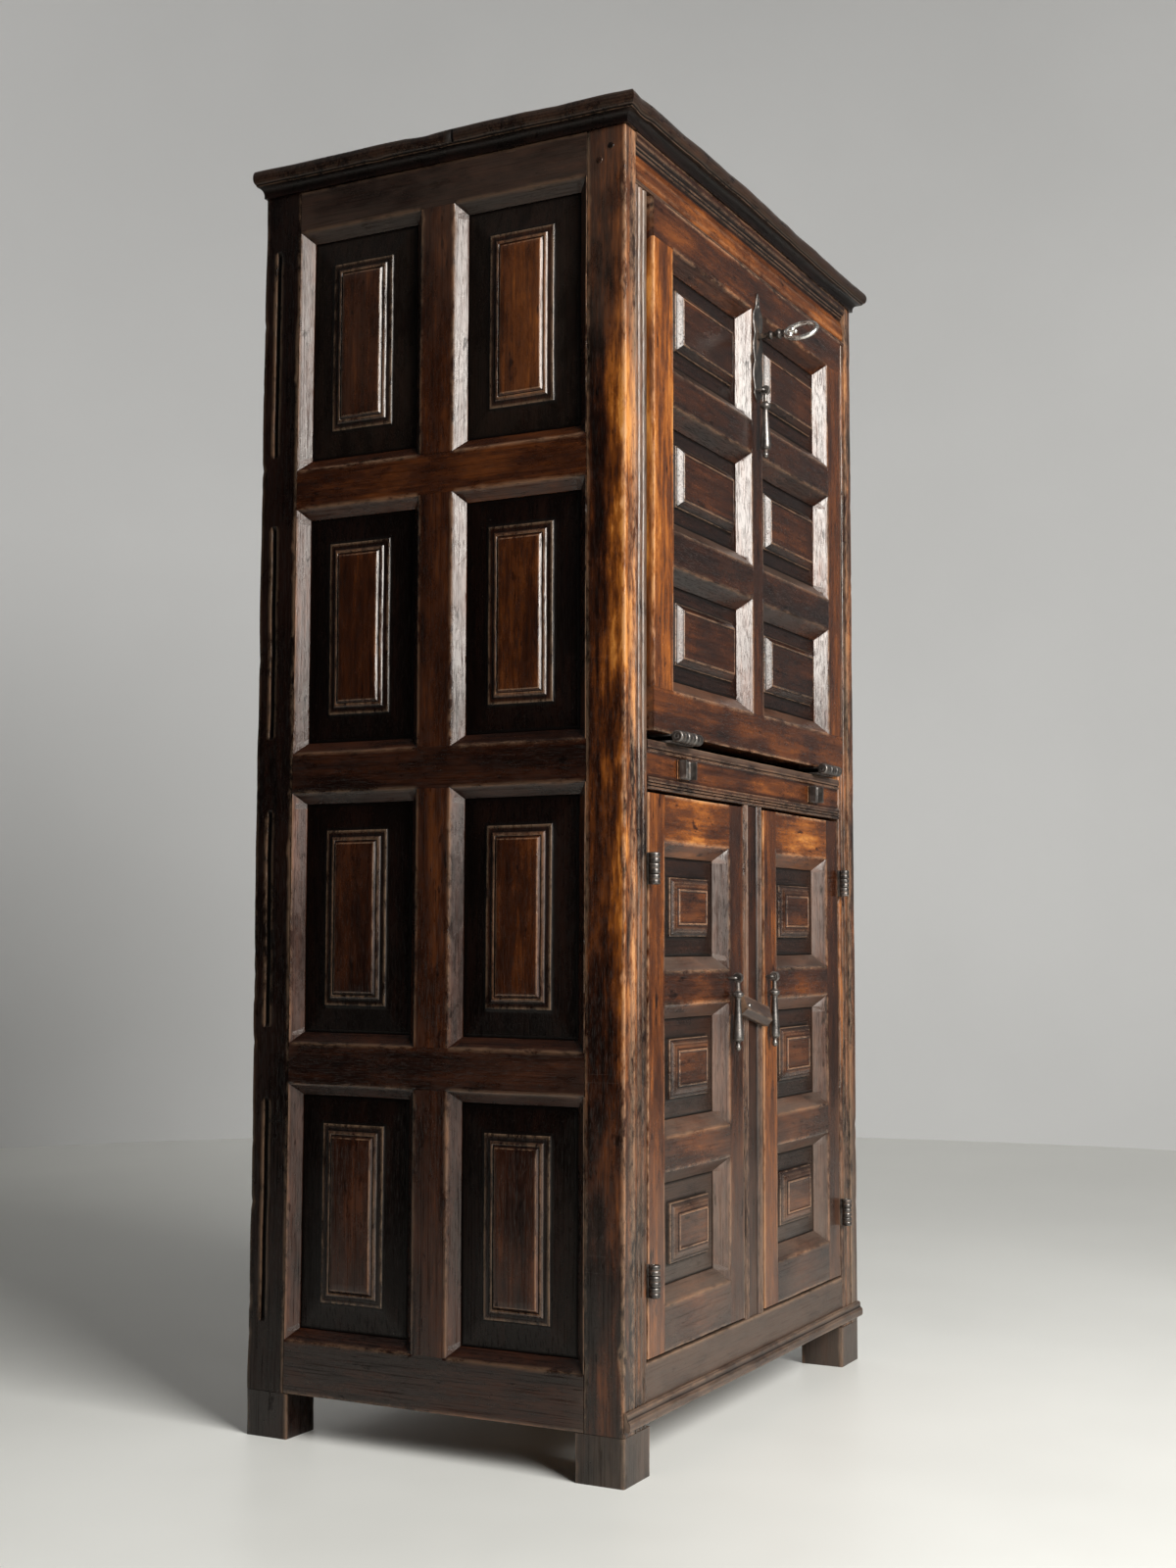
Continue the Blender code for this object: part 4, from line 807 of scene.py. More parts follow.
def front_post(side):
    """A flat beside the outer edge, then reeds, housed for the frieze above. Two pegs show at its side."""
    sign = SIDES[side]
    paint = post_paint if side == "left" else even(0.42)
    pitch = (POST_X - POST_FLAT) / REED_COUNT
    strip = []
    for reed in range(REED_COUNT):
        for step in range(1 if reed else 0, REED_STEPS + 1):
            turn = math.pi * step / REED_STEPS
            along = POST_FLAT + pitch * (reed + (1 - math.cos(turn)) / 2)
            strip.append((along, REED_DEPTH * (1 - math.sin(turn))))
    housing = FRIEZE_LOW - SEAT
    inner = [(0, POST_Y), (0, 0), (POST_FLAT, 0)]

    def section(z):
        reeds = [(a, FRIEZE_LAP + SEAT) for a, b in strip] if z > housing else strip
        return [*inner, *reeds, (POST_X, POST_Y)]

    solid = Solid()
    place = on_post(sign, FRONT)
    plain = range(len(inner) - 1, len(inner) + len(strip))
    marks = (housing - 0.0001, housing + 0.0001)
    sweep(solid, place, (FOOT, TOP), section, POST_EDGE, paint, marks, plain=plain)
    add_foot(solid, place, FRONT_FOOT_X, 0, FRONT_FOOT_Y, 0.18)
    for inset, drop in PEGS:
        spot = Vector((sign * HALF, FRONT + inset, TOP - drop))
        outward = Matrix.Translation(spot) @ Matrix.Rotation(sign * QUARTER, 4, "Y")
        dome(solid, outward, PEG_RADIUS, 0.0012, even(0.12))
    solid.piece(f"front_{side}_post", POST)


def side_rows():
    low = (BAY_FRONT - SEAT, FOOT)
    high = (BAY_REAR + SEAT, TOP)
    return openings(low, high, 2, SIDE_ROWS, SIDE_EDGES, SIDE_MUNTIN, SIDE_CROSS)


def rear_post(side):
    """A rough post with a stopped groove beside each side panel."""
    solid = Solid(2.4)
    place = on_post(SIDES[side], 0)
    runs = [(row[0][1] + GROOVE_STOP, row[0][3] - GROOVE_STOP) for row in side_rows()]
    front = BAY_REAR + SEAT
    rear = REAR - GROOVE_INSET
    near = rear - GROOVE_WIDTH

    def section(z):
        deep = lip(runs, z, GROOVE_DEPTH)
        outer = [(0, front), (REAR_POST_X, front), (REAR_POST_X, REAR), (0, REAR)]
        return outer + [(0, rear), (deep, rear), (deep, near), (0, near)]

    marks = [z for low, high in runs for z in (low, low + GROOVE_DEPTH, high - GROOVE_DEPTH, high)]
    sweep(solid, place, (FOOT, TOP), section, POST_EDGE, even(0.10), marks)
    add_foot(solid, place, REAR_FOOT_X, REAR - REAR_FOOT_Y, REAR, 0.16)
    solid.piece(f"rear_{side}_post", DARK)


def side_frame(side):
    """Rails across the side, short muntins between them and a narrow chamfered edge along each post."""
    solid = Solid(1.2)
    place = on_side(SIDES[side])
    sizes = (SIDE_THICKNESS, SIDE_CHAMFER)
    rows = side_rows()
    edges = [TOP] + [row[0][1] for row in rows]
    tops = [row[0][3] for row in rows] + [FOOT]
    spans = [[], *([(r[0], r[2]) for r in row] for row in rows), []]
    for index, (high, low) in enumerate(zip(edges, tops)):
        cuts = (spans[index + 1], spans[index])
        paint = side_paint(SIDE_TONES[index])
        member(solid, place, (BAY_FRONT, BAY_REAR), (low, high), sizes, cuts, paint)
    for front, rear in rows:
        upright = front[1::2]
        run = [upright]
        paint = side_paint(0.34 + random.uniform(-0.04, 0.06))
        for width, cuts in (
            ((front[2], rear[0]), (run, run)),
            ((BAY_FRONT, front[0]), ((), run)),
            ((rear[2], BAY_REAR), (run, ())),
        ):
            member(solid, standing(place), upright, width, sizes, cuts, paint, butted=True)
    solid.piece(f"{side}_side_frame", DARK)


def panel_profile(chamfer, back, relief):
    """A panel's edge at the back, then its relief from the foot of the frame's chamfer."""
    edge = chamfer + PANEL_GAP
    return [(edge, back)] + [(edge + inset, chamfer + PANEL_SINK - rise) for inset, rise in relief]


def side_panels(side, column, name):
    """A column of raised panels, warmer in the middle and each of its own tone."""
    solid = Solid(1.4)
    profile = panel_profile(SIDE_CHAMFER, SIDE_THICKNESS + 0.005, SIDE_RELIEF)
    for row in side_rows():
        rect = row[column]
        centre = (0.45, 0.36)[column] + random.uniform(-0.06, 0.06) - 0.06 * (1 - smooth(0.4, 0.9, rect[1]))
        paint = panel_paint(0.03, centre, profile[0][0] + 0.054, 0.05 * smooth(1.2, 1.25, rect[1]))
        panel(solid, on_side(SIDES[side]), rect, profile, 0.0008, paint, upright=True, seam=SEAM)
    solid.piece(f"{side}_{name}_panels", PANEL)


def frieze_paint(at, inset=0):
    """An orange band between dark mouldings."""
    return 0.24 + 0.30 * hump(FRIEZE_LOW + 0.008, TOP - 0.023, 0.004, at.z), 0.0


def frieze():
    """A moulded face lapped over the posts, and a block behind it with the bolt's hole."""
    low, high = FRIEZE_LOW, TOP - 0.022
    r = BAND_RECESS
    face = [(r / 2, low), (0, low + r / 3), (0, low + r), (r * 0.8, low + r * 1.25)]
    face += [(r * 0.4, (low * 2 + high) / 3), (r * 0.4, (low + high * 2) / 3), (r, high)]
    steps = ((0.0035, 0.4), (0.0035, 0.8), (0.0015, 1), (0.0015, 1.5), (-0.002, 2))
    face += [(depth, high + r * rise) for depth, rise in steps] + [(-0.002, TOP)]
    lap = [*reversed(face), (FRIEZE_LAP, low), (FRIEZE_LAP, TOP)]
    solid = Solid()
    half = HALF - POST_FLAT - SEAT
    sweep(solid, across, (-half, half), lap, 0.0009, frieze_paint)
    solid.piece("frieze_rail", WARM, stem="frieze_face")
    lap_y, lip_y = FRIEZE_LAP + SEAT, FALL_HIGH.y + SEAT - FRONT
    block = [(RAIL_BACK, TOP), (lap_y, TOP), (lap_y, low), (lip_y, low)]
    block += [(lip_y, low - STOP_LIP), (RAIL_BACK, low - STOP_LIP)]
    solid = Solid()
    sweep(solid, across, (-BAY_HALF, BAY_HALF), block, EDGE, even(0.3))
    obj = solid.piece("frieze_rail", WARM, stem="frieze_back")
    bolt_low, bolt_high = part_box("lock_bolt")
    slack = Vector((0.0025, 0.0025, 0))
    cut_square(obj, bolt_low - slack, bolt_high + slack + Vector((0, 0, 0.0145)))


def middle_rail():
    """Beads below, a recessed band that the lopers run through and a moulding above."""
    loper_low, loper_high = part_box("left_loper")
    low = MIDDLE_LOW
    step = BAND_RECESS / 3
    band_low, band_top = loper_low.z - step, loper_high.z + step
    beads = ((0.002, 0), (0, 0.8), (0, 1.6), (step, 2.2), (0, 2.8), (0, 3.6), (step, 4.2), (0, 4.8))
    face = [(depth, low + step * rise) for depth, rise in beads]
    face += [(0, band_low - step), (BAND_RECESS / 2, band_low)]
    steps = ((BAND_RECESS / 2, 0), (0, 1), (0, 2), (step, 2.6), (0, 3.4))
    face += [(depth, band_top + step * rise) for depth, rise in steps]
    face += [(0, MIDDLE_TOP - step * 2), (step / 2, MIDDLE_TOP)]
    section = [*reversed(face), (STOP_FACE, low), (STOP_FACE, low - STOP_LIP)]
    section += [(RAIL_BACK, low - STOP_LIP), (RAIL_BACK, MIDDLE_TOP)]

    def paint(at, inset=0):
        band = hump(band_low - 0.001, band_top + 0.001, 0.002, at.z)
        return 0.34 + 0.22 * band, 0.34 * smooth(band_top, MIDDLE_TOP, at.z)

    solid = Solid(0.7)
    sweep(solid, across, (-BAY_HALF, BAY_HALF), section, 0.0008, paint)
    obj = solid.piece("middle_rail", WARM)
    slack = Vector((0.0006, 0.02, 0.0006))
    for side in SIDES:
        low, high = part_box(f"{side}_loper")
        cut_square(obj, low - slack, high + slack)


def bottom_rail():
    """A rail with the doors' stop behind it and the base moulding on its face."""
    solid = Solid()
    low, stop = BOTTOM_LOW, BOTTOM_TOP + STOP_LIP
    section = [(RAIL_BACK, low), (RAIL_BACK, stop), (STOP_FACE, stop), (STOP_FACE, BOTTOM_TOP)]
    section += [(0.002, BOTTOM_TOP), (0.002, low)]
    sweep(solid, across, (-BAY_HALF, BAY_HALF), section, 0.0025, even(0.30, 0.08))
    p, h = BASE_PROUD, BASE_HEIGHT
    high = low + h
    moulding = [(0.0017, low), (0.0017, high), (-p * 0.25, high), (-p * 0.55, high - p * 0.3)]
    moulding += [(-p * 0.55, low + h * 0.62), (-p * 0.80, low + h * 0.56), (-p, low + h * 0.45)]
    moulding += [(-p, low + p * 0.3), (-p * 0.75, low)]

    def seated(s, a, b):
        return across(s, min(a, -SEAT) if abs(s) > BAY_HALF else a, b)

    marks = (-BAY_HALF - 0.0002, -BAY_HALF, BAY_HALF, BAY_HALF + 0.0002)
    sweep(solid, seated, (-HALF, HALF), moulding, 0.0012, even(0.34, 0.08), marks)
    solid.piece("bottom_rail", DARK)


def centre_muntin():
    """A beaded muntin between the doors, and the wider stop behind it."""
    solid = Solid(0.8)
    low, high = BOTTOM_TOP + SEAT, MIDDLE_LOW - SEAT
    half, face = MUNTIN_HALF, LEAF_FACE - FRONT
    beads = ((1, 1), (0.86, 0.2), (0.72, 0), (0.60, 0.7), (0.50, 0))
    beads += ((0.38, 0), (0.28, 0.7), (0.18, 0), (0.06, 0.3), (0, 1))
    right = [(half - MUNTIN_BEAD * inset, face + REED_DEPTH * depth) for inset, depth in beads]
    right.append((half, STOP_FACE))
    section = right + [(-x, y) for x, y in reversed(right)]

    def place(s, a, b):
        return Vector((a, FRONT + b, s))

    sweep(solid, place, (low, high), section, 0.0007, even(0.34))
    wide, front = half + STOP_LIP, STOP_FACE + SEAT
    stop = [(-wide, front), (wide, front), (wide, RAIL_BACK), (-wide, RAIL_BACK)]
    sweep(solid, place, (low + STOP_LIP, high - STOP_LIP), stop, EDGE, even(0.3))
    solid.piece("centre_muntin", DARK)


def top_board():
    """The top with its cornice: a fillet, a cove and a thick round worn in waves."""
    low = TOP + SEAT
    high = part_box("top_board")[1].z
    cove_low = low + CORNICE_FILLET
    round_low = low + CORNICE_HEIGHT * 0.45
    cove_out = CORNICE_OVERHANG * 0.75
    outline = [(CORNICE_FILLET, low), (CORNICE_FILLET, cove_low)]
    for i in range(1, 6):
        turn = QUARTER * i / 5
        out = CORNICE_FILLET + (cove_out - CORNICE_FILLET) * (1 - math.cos(turn))
        outline.append((out, cove_low + (round_low - 0.002 - cove_low) * math.sin(turn)))
    middle = (round_low + high) / 2
    rise = (high - round_low) / 2
    for i in range(8):
        turn = math.pi * (i / 7 - 0.5)
        out = cove_out + (CORNICE_OVERHANG - cove_out) * math.cos(turn)
        outline.append((out, middle + rise * math.sin(turn)))

    def place(u, v, d):
        out = max(abs(u) - HALF, FRONT - v, v - REAR, 0)
        y = v if v < REAR else REAR + (v - REAR) * CORNICE_REAR
        at = Vector((u, y, high - d))
        wave = noise.noise(at / 0.09) + 0.5 * noise.noise(at / 0.03)
        notch = max(0.0, noise.noise(at / 0.045 + Vector((9, 3, 1))) - 0.38)
        worn = smooth(0.006, CORNICE_OVERHANG, out) * (0.0014 * (wave + 0.8) + 0.008 * notch)
        inward = Vector((-math.copysign(1, u) if abs(u) > HALF else 0, 1 if v < FRONT else 0, -0.55))
        return at + inward * worn

    def paint(at, inset=0):
        tone = 0.09 + 0.07 * hump(round_low, high - 0.004, 0.004, at.z)
        return tone, 0.16 * smooth(high - 0.006, high, at.z)

    solid = Solid(2.0)
    profile = [(-out, high - z) for out, z in outline]
    panel(solid, place, (-HALF, FRONT, HALF, REAR), profile, 0.0012, paint, upright=False, step=0.014)
    obj = solid.piece("top_board", DARK)
    start = Vector((-HALF - CORNICE_OVERHANG - 0.01, CRACK_Y, round_low))
    cut_square(obj, start, start + Vector((0.01 + CRACK_DEPTH, CRACK_WIDTH, CORNICE_HEIGHT)))


def back_boards():
    """Five upright boards with open joints."""
    low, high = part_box("back_boards")
    count = 5
    pitch = (high.x - low.x) / count
    solid = Solid(1.5)
    for i in range(count):
        start = Vector((low.x + pitch * i + 0.0006, low.y, low.z))
        end = Vector((low.x + pitch * (i + 1) - 0.0006, high.y, high.z))
        board(solid, start, end, 2, 0.0022, even(0.42 + random.uniform(-0.1, 0.1)), step=0.03)
    solid.piece("back_boards", RAW)


def inner_board(name, tone):
    """A shelf of boards that run across, the last one let in between the rear posts."""
    low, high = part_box(name)
    solid = Solid(0.6)
    count = 3
    pitch = (BAY_REAR - low.y) / count
    for i in range(count):
        start = Vector((low.x, low.y + pitch * i + JOINT, low.z))
        end = Vector((high.x, low.y + pitch * (i + 1) - JOINT, high.z))
        board(solid, start, end, 0, 0.0010, even(tone + random.uniform(-0.08, 0.08)), step=0.03)
    half = HALF - REAR_POST_X - SEAT
    start, end = Vector((-half, BAY_REAR + JOINT, low.z)), Vector((half, high.y, high.z))
    board(solid, start, end, 0, 0.0010, even(tone), step=0.03)
    solid.piece(name, RAW)


# The fall and the doors


def leaf_panel(name, body, face, rect, thickness, relief, paint):
    """A raised panel of the fall or a door, plain at the back."""

    def backed(at, inset):
        return (0.38, 0.10) if at.y > face + thickness - 0.002 else paint(at, inset)

    solid = Solid()
    profile = panel_profile(FRONT_CHAMFER, thickness, relief)
    panel(solid, on_front(face), rect, profile, 0.0007, backed, upright=False, step=0.010, seam=SEAM)
    solid.piece(name, PANEL, body)


def fall():
    """The writing leaf: two columns of three panels about a muntin, with an amber stile at its left."""
    low, high = FALL_LOW, FALL_HIGH
    thickness = high.y - low.y
    sizes = (thickness, FRONT_CHAMFER)
    rows = openings((low.x, low.z), (high.x, high.z), 2, 3, FALL_EDGES, FALL_MUNTIN, FALL_CROSS)
    place = on_front(FALL_FACE)
    solid = Solid()
    left, right = rows[0]
    top, bottom = left[3], rows[-1][0][1]
    wide = [left[::2], right[::2]]
    tall = [row[0][1::2] for row in rows]
    full = (low.x, high.x)

    def amber(at, inset=0):
        return 0.76 - 0.12 * smooth(0.05, 0.0, at.z - bottom), 0.0

    def rail(span, width, cuts, tone, butted=False):
        paint = sunk(FALL_FACE, tone, 0.0, ledge=width[1])
        member(solid, place, span, width, sizes, cuts, paint, butted)

    def upright(width, cuts, paint):
        member(solid, standing(place), (bottom, top), width, sizes, cuts, paint, butted=True)

    rail(full, (top, high.z), (wide, ()), 0.45)
    rail(full, (low.z, bottom), ((), wide), 0.46)
    upright((low.x, left[0]), ((), tall), amber)
    upright((right[2], high.x), (tall, ()), even(0.46))
    for above, below in zip(rows, rows[1:]):
        for a, b in zip(above, below):
            run = a[::2]
            rail(run, (b[3], a[1]), ([run], [run]), 0.30, butted=True)
    solid.piece("fall_frame", WARM, "fall")
    solid = Solid()
    upright((left[2], right[0]), (tall, tall), even(0.36))
    obj = solid.piece("fall_frame", WARM, "fall", stem="fall_muntin")
    cut_round(obj, key_axis(), KEY_RADIUS * 1.3, -0.05, 0.01)
    paint = panel_paint(0.16, 0.34, 0.05)
    for name, row in zip(ROWS, rows):
        for side, rect in zip(SIDES, row):
            leaf_panel(f"fall_panel_{name}_{side}", "fall", FALL_FACE, rect, thickness, FALL_RELIEF, paint)


def door(side):
    """A door of three panels between two stiles."""
    low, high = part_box(f"{side}_door_frame")
    body = f"{side}_door"
    thickness = high.y - low.y
    sizes = (thickness, FRONT_CHAMFER)
    rows = openings((low.x, low.z), (high.x, high.z), 1, 3, DOOR_EDGES, 0, DOOR_CROSS)
    rects = [row[0] for row in rows]
    place = on_front(LEAF_FACE)
    solid = Solid()
    run = rects[0][::2]
    wide = [run]
    tall = [r[1::2] for r in rects]

    def stile(width, cuts, tone):
        paint = sunk(LEAF_FACE, tone, DOOR_DUST_AND_SHEEN)
        member(solid, standing(place), (low.z, high.z), width, sizes, cuts, paint)

    def rail(width, cuts, tone):
        paint = sunk(LEAF_FACE, tone, DOOR_DUST_AND_SHEEN, ledge=width[1], ends=run)
        member(solid, place, run, width, sizes, cuts, paint, butted=True)

    stile((low.x, run[0]), ((), tall), 0.61)
    stile((run[1], high.x), (tall, ()), 0.43)
    rail((rects[0][3], high.z), (wide, ()), 0.76)
    rail((low.z, rects[-1][1]), ((), wide), 0.50)
    for above, below in zip(rects, rects[1:]):
        rail((below[3], above[1]), (wide, wide), 0.55)
    solid.piece(f"{side}_door_frame", WARM, body)
    paint = panel_paint(0.20, 0.46, 0.06, 0.03)
    for row, rect in zip(ROWS, rects):
        leaf_panel(f"{side}_door_panel_{row}", body, LEAF_FACE, rect, thickness, DOOR_RELIEF, paint)


def loper(side):
    solid = Solid(0.2)
    board(solid, *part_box(f"{side}_loper"), 1, 0.0010, even(0.60))
    solid.piece(f"{side}_loper", WARM, f"{side}_loper")


def dress_carcass():
    for side in SIDES:
        front_post(side)
        rear_post(side)
        side_frame(side)
        side_panels(side, 0, "front")
        side_panels(side, 1, "rear")
    frieze()
    middle_rail()
    bottom_rail()
    centre_muntin()
    top_board()
    back_boards()
    inner_board("writing_shelf", 0.62)
    inner_board("dust_board", 0.45)
    inner_board("cupboard_floor", 0.45)


def dress_leaves():
    fall()
    for side in SIDES:
        door(side)
        loper(side)


# Ironwork. The drop handle's profile is each step's share of its radius and of its length.

HINGE_PIN = 0.003
HINGE_GAP = 0.0003
PIN_FIT = 0.93
HINGE_EDGE = 0.0004
FALL_HINGE = {"radius": 0.008, "length": 0.066, "leaf": 0.0024, "depth": 0.038}
DOOR_HINGE = {"radius": 0.007, "length": 0.040, "leaf": 0.0018, "depth": 0.031}
KEY_RADIUS = 0.0045
KEY_BOW = Vector((0.021, 0.0265))
KEY_WIRE = 0.0035
KEY_TILT = math.radians(52)
KEY_STEPS = 56
KEY_LOBES = ((-0.0056, 0.0115, 0.0046), (0.0056, 0.0115, 0.0046), (0, 0.0180, 0.0034))
STAPLE_WIRE = 0.0018
STAPLE_SPREAD = 0.0075
PLATE_STEPS = 56
PLATE_SCALLOPS = 4
PLATE_WAIST = 0.65
EYE_OUTER = 0.0073
EYE_WIRE = 0.0026
DROP_RADIUS = 0.0075
DROP_PROFILE = (
    (0.40, -0.01), (0.42, 0.11), (0.62, 0.135), (0.98, 0.160), (1.00, 0.180), (0.96, 0.200), (0.62, 0.222),
    (0.52, 0.250), (0.56, 0.330), (0.68, 0.470), (0.86, 0.660), (1.00, 0.790), (0.98, 0.830), (0.84, 0.850),
    (0.44, 0.868), (0.36, 0.890), (0.42, 0.905), (0.56, 0.930), (0.58, 0.950), (0.46, 0.977), (0.18, 0.997),
    (0.00, 1.000),
)
BUTTON_TAIL = 0.011
BUTTON_REACH = 0.084
BUTTON_HALF = 0.014
BUTTON_EDGE = 0.009
BUTTON_RIDGE = 0.018
BUTTON_SLOPE = 0.010
BUTTON_TILT = math.radians(12)
NAIL_RADIUS = 0.004
PULL_STRAP = 0.003
RIVET_RADIUS = 0.004


def key_axis():
    """Out of the keyhole along Z, from the face of the fall."""
    low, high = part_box("key")
    return facing(Vector((0, FALL_FACE, (low.z + high.z) / 2)))


def dome(solid, matrix, radius, height, paint):
    """A hammered round head."""
    profile = [(radius, 0)]
    for i in range(7):
        turn = QUARTER * i / 6
        profile.append((radius * math.cos(turn), height * (0.25 + 0.75 * math.sin(turn))))
    lathe(solid, matrix, profile, 20, 0.0, paint)


def ball(solid, spot, radius, paint):
    arc = [math.pi * (i / 12 - 0.5) for i in range(13)]
    profile = [(radius * math.cos(turn), radius * math.sin(turn)) for turn in arc]
    lathe(solid, Matrix.Translation(spot), profile, 20, 0.0, paint)


def knuckle(solid, along, low, high, radius):
    """A turned knuckle with a ring cut round its middle."""
    edge = radius / 6
    middle = (low + high) / 2
    section = [(HINGE_PIN, low), (radius * 0.86, low), (radius, low + edge), (radius, middle - edge * 1.3)]
    section += [(radius * 0.90, middle), (radius, middle + edge * 1.3), (radius, high - edge)]
    section += [(radius * 0.86, high), (HINGE_PIN, high)]
    lathe(solid, along, section, 32, 0.0006, even(0.12, 0.1), hollow=True)


def hinge(name, body, matrix, sizes, fixed_face, moving_face):
    """A butt hinge: its axis along X, its leaves back along Y, its moving leaf above its fixed one."""
    radius, leaf, depth = sizes["radius"], sizes["leaf"], sizes["depth"]
    half = sizes["length"] / 2
    middle = half / 3
    shoulder = middle + HINGE_GAP
    clear = radius + HINGE_GAP
    along = matrix @ Matrix.Rotation(QUARTER, 4, "Y")
    paint = even(0.2)

    def plate(solid, xs, ys, low, high):
        board(solid, (xs[0], ys[0], low), (xs[1], ys[1], high), 0, HINGE_EDGE, paint, matrix=matrix)

    fixed = Solid(0.04)
    knuckle(fixed, along, -half, -shoulder, radius)
    knuckle(fixed, along, shoulder, half, radius)
    pin, end = HINGE_PIN * PIN_FIT, half - 0.0006
    lathe(fixed, along, [(0, -half), (pin, -end), (pin, end), (0, half)], 20, HINGE_EDGE, paint)
    faces = (fixed_face, fixed_face + leaf)
    plate(fixed, (-half, half), (clear, depth), *faces)
    plate(fixed, (-half, -shoulder), (radius * 0.8, clear), *faces)
    plate(fixed, (shoulder, half), (radius * 0.8, clear), *faces)
    fixed.piece(f"{name}_fixed", IRON)
    moving = Solid(0.04)
    knuckle(moving, along, -middle, middle, radius)
    faces = (moving_face - leaf, moving_face)
    plate(moving, (-half, half), (clear, depth), *faces)
    plate(moving, (-middle, middle), (radius * 0.8, clear), *faces)
    moving.piece(f"{name}_moving", IRON, body)


def hinges():
    for side, sign in SIDES.items():
        low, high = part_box(f"fall_hinge_{side}_moving")
        z = FALL_AXIS_Z
        place = Matrix.Translation(((low.x + high.x) / 2, low.y + FALL_HINGE["radius"], z))
        fixed_face = MIDDLE_TOP + SEAT - z
        hinge(f"fall_hinge_{side}", "fall", place, FALL_HINGE, fixed_face, FALL_LOW.z - SEAT - z)
        for height in ("lower", "upper"):
            name = f"{side}_door_hinge_{height}"
            low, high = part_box(f"{name}_moving")
            spot = Vector((sign * DOOR_AXIS_X, low.y + DOOR_HINGE["radius"], (low.z + high.z) / 2))
            place = Matrix.Translation(spot) @ Matrix.Rotation(-sign * QUARTER, 4, "Y")
            gap = DOOR_AXIS_GAP - SEAT
            hinge(name, f"{side}_door", place, DOOR_HINGE, -gap, gap)


def staple(solid, pivot, back):
    xs = (pivot.x - STAPLE_SPREAD, pivot.x + STAPLE_SPREAD)
    corners = [(xs[0], back), (xs[0], pivot.y), (xs[1], pivot.y), (xs[1], back)]
    path = bend([Vector((x, y, pivot.z)) for x, y in corners], 0.0035)
    tube(solid, path, STAPLE_WIRE, 14, even(0.3))


def pivot_of(handle, holder):
    """The middle of a handle's eye."""
    low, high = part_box(handle)
    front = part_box(holder)[0].y + STAPLE_WIRE
    return Vector(((low.x + high.x) / 2, front, high.z - EYE_OUTER))


def drop_handle(name, body, pivot):
    """A turned drop under an eye that rides on the staple."""
    solid = Solid(0.1)
    down = Matrix.Translation(pivot) @ Matrix.Rotation(math.pi, 4, "X")
    start = EYE_OUTER - EYE_WIRE / 2
    reach = pivot.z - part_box(name)[0].z - start
    profile = [(DROP_RADIUS * r, start + reach * t) for r, t in DROP_PROFILE]
    lathe(solid, down, profile, 32, 0.0005, even(0.45))
    bore = STAPLE_WIRE + 0.0004
    eye = [(bore, -EYE_WIRE), (EYE_OUTER, -EYE_WIRE), (EYE_OUTER, EYE_WIRE), (bore, EYE_WIRE)]
    lathe(solid, down @ Matrix.Rotation(QUARTER, 4, "Y"), eye, 28, 0.0014, even(0.5), hollow=True)
    solid.piece(name, IRON, body)


def handles():
    drop_handle("fall_handle", "fall_handle", pivot_of("fall_handle", "escutcheon"))
    for side in SIDES:
        node = f"{side}_handle_staple"
        pivot = pivot_of(f"{side}_door_handle", node)
        drop_handle(f"{side}_door_handle", f"{side}_handle", pivot)
        solid = Solid(0.1)
        staple(solid, pivot, LEAF_FACE - SEAT)
        solid.piece(node, IRON, f"{side}_door")


def escutcheon():
    """A thin scalloped plate, pointed above, with nails and the staple of the fall's handle."""
    low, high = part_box("escutcheon")
    back = FALL_FACE - SEAT
    height = high.z - low.z

    def outline(inset, y):
        edge = []
        for i in range(1, PLATE_STEPS):
            share = i / PLATE_STEPS
            wave = abs(math.cos(math.pi * PLATE_SCALLOPS * share))
            taper = min(1, height * share / 0.032, height * (1 - share) / 0.012)
            width = high.x * (PLATE_WAIST + (1 - PLATE_WAIST) * wave) * taper
            edge.append((max(0.0003, width - inset), high.z - height * share))
        edge = [(0.0001, high.z - inset * 2), *edge, (0.0001, low.z + inset * 2)]
        ring = edge + [(-x, z) for x, z in reversed(edge)]
        return [Vector((x, y, z)) for x, z in ring]

    solid = Solid(0.3)
    start = drift()
    loops = []
    for inset, out, worn in ((0, 0, 0.2), (0, 0.0011, 0.9), (0.0010, 0.0019, 0.7), (0.0024, 0.0020, 0.0)):
        loops.append([solid.add(p, start + p, (0.3, 0.0), worn) for p in outline(inset, back - out)])
    solid.skin(loops)
    obj = solid.piece("escutcheon", IRON, "fall")
    cut_round(obj, key_axis(), KEY_RADIUS + 0.0005, -0.01, 0.01)
    trim = Solid(0.1)
    staple(trim, pivot_of("fall_handle", "escutcheon"), back - 0.001)
    for share in (0.13, 0.88):
        spot = Vector((0, back - 0.0019, high.z - height * share))
        dome(trim, facing(spot), 0.0028, 0.0016, even(0.5))
    trim.piece("escutcheon", IRON, "fall", stem="escutcheon_trim")


